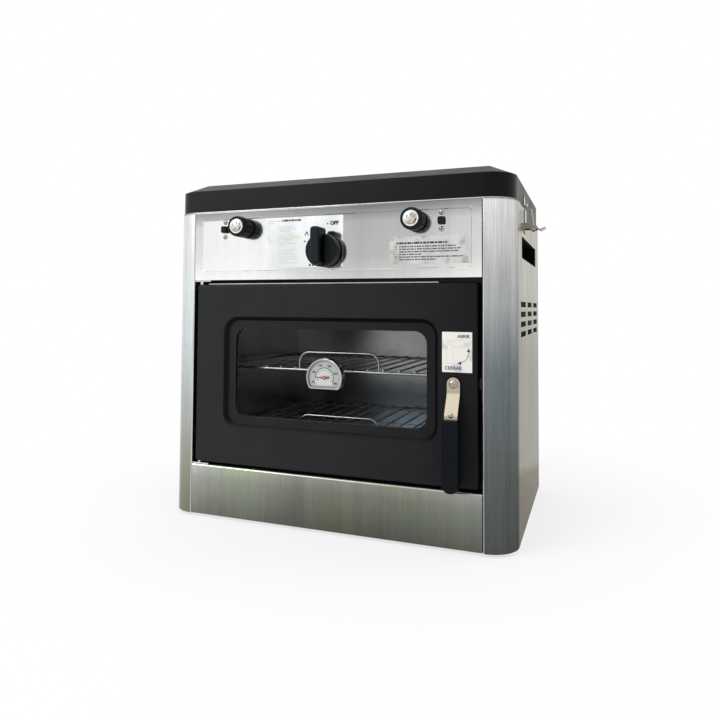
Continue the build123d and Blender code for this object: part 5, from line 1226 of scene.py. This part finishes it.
@dataclass
class Door:
    """Glazed oven door with its label, handle and seal."""

    face_y: float = -149.5
    card_depth: float = 0.12
    label: Box = (156.0, 217.3, 193.3, 266.8)
    bolt: Spot = (171.2, 203.5)
    arm_y: float = -154.9

    def build(self, frame: dict[str, Any]) -> None:
        """Make the door's pieces."""
        dress(frame, Stock.door, "door_outer")
        dress(frame, Stock.rear, "door_inner")
        dress(frame, Stock.glass, "door_glass")
        dress(frame, Stock.gasket, "door_gasket")
        dress(frame, Stock.chrome, "door_hinge_brackets")
        # keeper and tongue sit in the gap and take its painted shade
        dress(frame, Stock.keeper, "door_keeper", "latch_tongue")
        dress(frame, Stock.arm, "handle_arm")
        dress(frame, Stock.grip, "handle_grip")
        self.sign()
        self.fasteners()

    def sign(self) -> None:
        """Make the card that shows which way the handle turns."""
        left, low, right, high = self.label
        card = FlatWork("door_card", Facing.FRONT, -self.face_y, self.card_depth)
        card.plate(rounded_box(left, low, right, high, 0.8))
        card.done(Stock.card, "door", "dial")
        shape, arrow = (
            FlatWork(f"door_card_{name}", Facing.FRONT, -self.face_y + self.card_depth) for name in ("outline", "arrow")
        )
        x0, x1, z0, z1 = left + 5.4, left + 14.0, low + 10.3, high - 9.5
        middle, reach = (x0 + x1) / 2, (x1 - x0) / 2
        shape.bar(x0, z0 + reach, x0 + 0.4, z1 - reach)
        shape.bar(x1 - 0.4, z0 + reach, x1, z1 - reach)
        shape.band((middle, z1 - reach), (reach - 0.4, reach), (0, 180))
        shape.band((middle, z0 + reach), (reach - 0.4, reach), (180, 360))
        shape.band((middle, z1 - reach), (1.9, 2.4))
        shape.bar(x1 + 0.5, z1 - 8.6, right - 2.2, z1 - 8.2)
        shape.bar(x1 + 0.5, z1 - 0.4, right - 3.6, z1)
        shape.done(Stock.pale, "door", "black_plastic")
        arrow.band((left + 19.8, high - 24.4), (13.3, 13.9), (-72, 3))
        arrow.plate([(left + 30.7, 242.5), (left + 35.1, 242.5), (left + 32.9, 247.2)])
        arrow.plate([(left + 23.8, 226.3), (left + 23.8, 230.9), (left + 18.9, 228.6)])
        arrow.letters("ABRIR", 4.1, (left + 26.8, high - 5.2), 0.15)
        arrow.letters("CERRAR", 4.1, (left + 13.9, low + 5.3), 0.15)
        arrow.done(Stock.ink, "door", "black_plastic")

    def fasteners(self) -> None:
        """Make the bolt with its collar and shaft, its cross recess as painted shade, and the rivet over the grip."""
        x, z = self.bolt
        bolt = Workpiece("handle_bolt")
        head = [(0.0, 3.0), (2.0, 2.9), (3.8, 2.4), (5.0, 1.5), (5.6, 0.4), (5.6, 0.0), (4.0, 0.0), (4.0, -2.0)]
        shaft = [(7.5, -2.0), (7.5, -5.2), (4.0, -5.2), (4.0, -19.4), (0.0, -19.4)]
        bolt.turned((x, self.arm_y, z), [*head, *shaft], FORWARD, 40)
        bolt.done(Stock.nickel, "door_handle", "steel", ["handle_fasteners"])
        # black cross: painted shade in the bolt's cross recess
        cross = FlatWork("handle_bolt_cross", Facing.FRONT, 2.2 - self.arm_y, 0.72)
        cross.cross(x, z, 2.6, 0.5)
        cross.done(Stock.ink, "door_handle", "steel")
        rivet = Workpiece("grip_rivet")
        dome = [(0.0, 1.4), (1.8, 1.2), (3.0, 0.6), (3.5, 0.0), (3.5, -0.5)]
        rivet.turned((x, self.arm_y - 15.0, z - 35.5), dome, FORWARD, 28)
        rivet.done(Stock.nickel, "door_handle", "steel")


@dataclass(frozen=True)
class WireGrid:
    """Ring of wire with straight wires laid across it from front to back."""

    half: float
    front: float
    back: float
    corner: float
    ring: tuple[float, int]
    wire: tuple[float, int]
    rise: float
    overhang: float

    def draw(self, piece: Workpiece, z: float, places: Iterable[float]) -> None:
        """Add the ring and its wires.

        Args:
            piece: Piece that takes them.
            z: Height of the ring's middle.
            places: Place of each wire over the width.
        """
        corners = [(self.half, self.front), (self.half, self.back), (-self.half, self.back), (-self.half, self.front)]
        piece.tube(bent_path([(x, y, z) for x, y in corners], self.corner, True), *self.ring, True)
        ends = (self.front - self.overhang, self.back + self.overhang)
        for x in places:
            piece.tube([Vector((x, y, z + self.rise)) for y in ends], *self.wire)


@dataclass
class Oven:
    """Liner, racks and burner behind the door."""

    rails: dict[str, float] = field(default_factory=lambda: {"upper": 208.0, "lower": 120.0})
    grid: WireGrid = WireGrid(183.5, -107.5, 141.5, 10.0, (2.0, 14), (1.4, 10), 2.9, 2.6)
    pitch: float = 22.0
    count: int = 15
    loop_half: float = 59.0
    loop_height: float = 25.0
    loop_corner: float = 14.0
    loop_radius: float = 1.6

    def build(self, frame: dict[str, Any]) -> None:
        """Make the oven's pieces."""
        dress(frame, Stock.inner, "oven_liner")
        dress(frame, Stock.oven_floor, "oven_floor_plate")
        dress(frame, Stock.zinc, "rack_runners", "oven_burner")
        dress(frame, Stock.brass, "thermocouple")
        for name, z in self.rails.items():
            self.rack(name, z)

    def rack(self, name: str, z: float) -> None:
        """Make one wire rack.

        Args:
            name: Its name.
            z: Height of its rail.
        """
        rack = Workpiece(f"wire_rack_{name}")
        self.grid.draw(rack, z, [(i - (self.count - 1) / 2) * self.pitch for i in range(self.count)])
        rack.done(Stock.wire if name == "upper" else Stock.low_wire, f"{name}_rack", "chrome", [f"rack_{name}"])
        half, front, high = self.loop_half, self.grid.front, z + self.loop_height
        loop = [(-half, front, z), (-half, front, high), (half, front, high), (half, front, z)]
        handle = Workpiece(f"wire_loop_{name}")
        handle.tube(bent_path(loop, self.loop_corner), self.loop_radius, 12)
        handle.done(Stock.wire, f"{name}_rack", "chrome")


@dataclass
class Hob:
    """Burners and pan support under the lid."""

    grid: WireGrid = WireGrid(200.6, -70.1, 141.1, 22.0, (2.5, 16), (2.0, 12), 4.0, 3.2)
    z: float = 446.0
    floor_z: float = 417.0
    burner_x: float = 123.0
    offsets: tuple[float, ...] = (16.0, 34.0, 52.0)

    def build(self, frame: dict[str, Any]) -> None:
        """Make the hob's pieces."""
        dress(frame, Stock.hob, "cooktop_tray")
        dress(frame, Stock.cast, "burner_bases")
        dress(frame, Stock.enamel, "burner_caps")
        dress(frame, Stock.ceramic, "electrodes")
        support = Workpiece("pan_grate")
        pairs = [(side * self.burner_x, offset) for side in (-1, 1) for offset in self.offsets]
        self.grid.draw(support, self.z, [x + sign * offset for x, offset in pairs for sign in (-1, 1)])
        for x in (-self.burner_x, 0.0, self.burner_x):
            for y in (self.grid.front, self.grid.back):
                support.tube([Vector((x, y, self.z)), Vector((x, y, self.floor_z))], *self.grid.wire)
        support.done(Stock.enamel, "casing", "enamel", ["pan_support"])


@dataclass
class Lid:
    """Hinged lid."""

    rivet: Spot = (-15.4, 449.6)
    side_x: float = 243.5

    def build(self, frame: dict[str, Any]) -> None:
        """Dress the lid and make its side rivets."""
        dress(frame, Stock.lid, "lid_shell")
        dress(frame, Stock.zinc, "lid_hinge_leaves", "lid_hinge_body_leaves")
        dress(frame, Stock.nickel, "latch_strikes")
        rivets = Workpiece("lid_rivets")
        dome = [(0.0, 0.7), (1.4, 0.5), (2.0, 0.0), (2.0, -0.5)]
        for side in (-1, 1):
            rivets.turned((side * self.side_x, *self.rivet), dome, Vector((side, 0, 0)), 20)
        rivets.done(Stock.ink, "lid", "lid_paint")


@dataclass
class Latches:
    """Draw latches on both sides."""

    y: float = -37.5
    pivot: Spot = (257.232, 403.526)
    head: Spot = (253.474, 430.263)
    half: float = 5.6
    reach: float = 9.0
    radius: float = 1.1
    foot_bend: float = 1.2
    head_bend: float = 3.0
    guard_x: float = 245.02
    guard: tuple[Spot, ...] = ((-22.0, 405.0), (152.0, 424.5), (152.0, 431.6), (-22.0, 431.6))

    def build(self, frame: dict[str, Any]) -> None:
        """Dress the levers and make the wire bails and the guards behind them."""
        dress(frame, Stock.lever, "latch_bases", "latch_lever_left", "latch_lever_right")
        for side, sign, facing in (("left", -1, Facing.LEFT), ("right", 1, Facing.RIGHT)):
            bail = Workpiece(f"wire_bail_{side}")
            bail.tube(self.path(sign), self.radius, 14)
            bail.done(Stock.nickel, f"latch_bail_{side}", "steel", [f"latch_bail_{side}"])
            guard = FlatWork(f"side_guard_{side}", facing, self.guard_x, 0.7)
            guard.plate([(sign * y, z) for y, z in self.guard][::sign])
            guard.done(Stock.guard, "casing", "lid_paint")

    def path(self, sign: int) -> list[Vector]:
        """Bend the bail's wire.

        Args:
            sign: -1 at the left and 1 at the right.

        Returns:
            Points along it.
        """
        low, high = (sign * self.pivot[0], self.pivot[1]), (sign * self.head[0], self.head[1])
        outer, inner = (low, self.reach), (low, self.half)
        spots = [(low, -self.reach), (low, -self.half), (high, -self.half), (high, self.half), inner, outer]
        points = [(x, self.y + y, z) for (x, z), y in spots]
        first, last = bent_path(points[:3], self.foot_bend), bent_path(points[3:], self.foot_bend)
        return [*first[:-1], *bent_path(points[1:5], self.head_bend)[1:-1], *last[1:]]


@dataclass
class Gas:
    """Valves and pipes."""

    def build(self, frame: dict[str, Any]) -> None:
        """Dress the gas train."""
        dress(frame, Stock.brass, "burner_valves", "oven_valve", "gas_manifold", "gas_inlet")
        dress(frame, Stock.brass, "valve_plug_left", "valve_plug_right", "valve_plug_oven")
        dress(frame, Stock.cast, "oven_pipe")


@dataclass(frozen=True)
class Lamp:
    """Soft lamp of the studio, with its place, panel and aim in metres and its power in watts."""

    name: str
    spot: Place
    wide: float
    high: float
    power: float
    aim: Place
    in_gloss: bool = True

    def hang(self) -> None:
        """Make the lamp."""
        data = bpy.data.lights.new(self.name, "AREA")
        data.shape = "RECTANGLE"
        data.size, data.size_y, data.energy = self.wide, self.high, self.power
        made = bpy.data.objects.new(self.name, data)
        bpy.context.scene.collection.objects.link(made)
        made.location = self.spot
        made.rotation_mode = "QUATERNION"
        made.rotation_quaternion = (Vector(self.aim) - Vector(self.spot)).to_track_quat("-Z", "Y")
        made.visible_glossy = self.in_gloss


@dataclass
class Studio:
    """Camera, lamps, floor and background."""

    spot: Place = (0.33307, -0.91343, 0.29553)
    yaw: float = 0.3583
    pitch: float = 0.0392
    roll: float = 0.0063
    focus: float = 626.3
    sensor: float = 36.0
    width: float = 720.0
    middle_y: float = 283.43
    world: float = 0.62
    floor_radius: float = 7.0
    lamps: tuple[Lamp, ...] = (
        Lamp("key", (-1.5, -1.9, 1.7), 1.6, 1.6, 34.0, (0.0, 0.0, 0.2)),
        Lamp("top", (0.1, -0.1, 2.0), 1.6, 1.6, 10.0, (0.0, 0.0, 0.3)),
        Lamp("rim", (1.9, 0.9, 1.0), 0.9, 1.6, 9.0, (0.2, 0.0, 0.25), in_gloss=False),
    )

    def build(self) -> None:
        """Make the studio."""
        self.camera()
        self.background()
        self.floor()
        for lamp in self.lamps:
            lamp.hang()
        bpy.context.scene.view_settings.view_transform = "Standard"

    def camera(self) -> None:
        """Place the camera where the photograph was taken."""
        data = bpy.data.cameras.new("camera")
        data.sensor_width = self.sensor
        data.lens = self.focus * self.sensor / self.width
        data.shift_y = (self.middle_y - self.width / 2) / self.width
        data.clip_start, data.clip_end = 0.01, 100.0
        made = bpy.data.objects.new("camera", data)
        bpy.context.scene.collection.objects.link(made)
        level = math.cos(self.pitch)
        ahead = Vector((-math.sin(self.yaw) * level, math.cos(self.yaw) * level, math.sin(self.pitch)))
        side = Vector((math.cos(self.yaw), math.sin(self.yaw), 0.0))
        up = side.cross(ahead)
        right = side * math.cos(self.roll) + up * math.sin(self.roll)
        above = up * math.cos(self.roll) - side * math.sin(self.roll)
        turn = Matrix((right, above, -ahead)).transposed().to_4x4()
        made.matrix_world = Matrix.Translation(Vector(self.spot)) @ turn
        bpy.context.scene.camera = made

    def background(self) -> None:
        """Make the world white to the camera, metal and glass, and softer as a light."""
        world = bpy.data.worlds.new("world")
        bpy.context.scene.world = world
        world.use_nodes = True
        graph = ShaderGraph(world.node_tree)
        seen = self.seen(graph)
        level = graph.node("ShaderNodeMapRange", None, {0: seen, 3: self.world, 4: 1.0})
        shader = graph.node("ShaderNodeBackground", None, {"Color": (1.0, 1.0, 1.0, 1.0), "Strength": level})
        graph.close(shader, "ShaderNodeOutputWorld")

    def seen(self, graph: ShaderGraph) -> Signal:
        """Whether a ray comes from the camera, a gloss or a glass.

        Args:
            graph: Graph to add the nodes to.

        Returns:
            1 for such a ray and 0 for others.
        """
        names = ("Is Camera Ray", "Is Glossy Ray", "Is Transmission Ray")
        camera, gloss, glass = (graph.node("ShaderNodeLightPath", output=name) for name in names)
        return (camera + gloss + glass).clamped()

    def floor(self) -> None:
        """Make a plain white floor that takes the shadow."""
        piece = bmesh.new()
        bmesh.ops.create_circle(piece, cap_ends=True, segments=64, radius=self.floor_radius)
        data = bpy.data.meshes.new("floor")
        piece.to_mesh(data)
        piece.free()
        made = bpy.data.objects.new("floor", data)
        bpy.context.scene.collection.objects.link(made)
        material = bpy.data.materials.new("floor")
        material.use_nodes = True
        graph = ShaderGraph(material.node_tree)
        cloth = graph.node("ShaderNodeBsdfDiffuse", None, {"Color": (0.92, 0.92, 0.92, 1.0)})
        glow = graph.node("ShaderNodeEmission", None, {"Color": (1.0, 1.0, 1.0, 1.0), "Strength": 1.0})
        spot = graph.node("ShaderNodeTexCoord", output="Object")
        far = graph.node("ShaderNodeVectorMath", {"operation": "LENGTH"}, {0: spot}, "Value").eased(0.26, 0.75)
        share = self.seen(graph) * (0.7 + 0.3 * far)
        graph.close(graph.node("ShaderNodeMixShader", None, {0: share, 1: cloth, 2: glow}))
        data.materials.append(material)


def main() -> None:
    """Build the stove and its studio."""
    logging.basicConfig(level=logging.INFO, format="%(name)s: %(message)s")
    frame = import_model()
    Studio().build()
    for assembly in (Casing(), Controls(), Thermometer(), Door(), Oven(), Hob(), Lid(), Latches(), Gas()):
        assembly.build(frame)


if __name__ == "__main__":
    main()
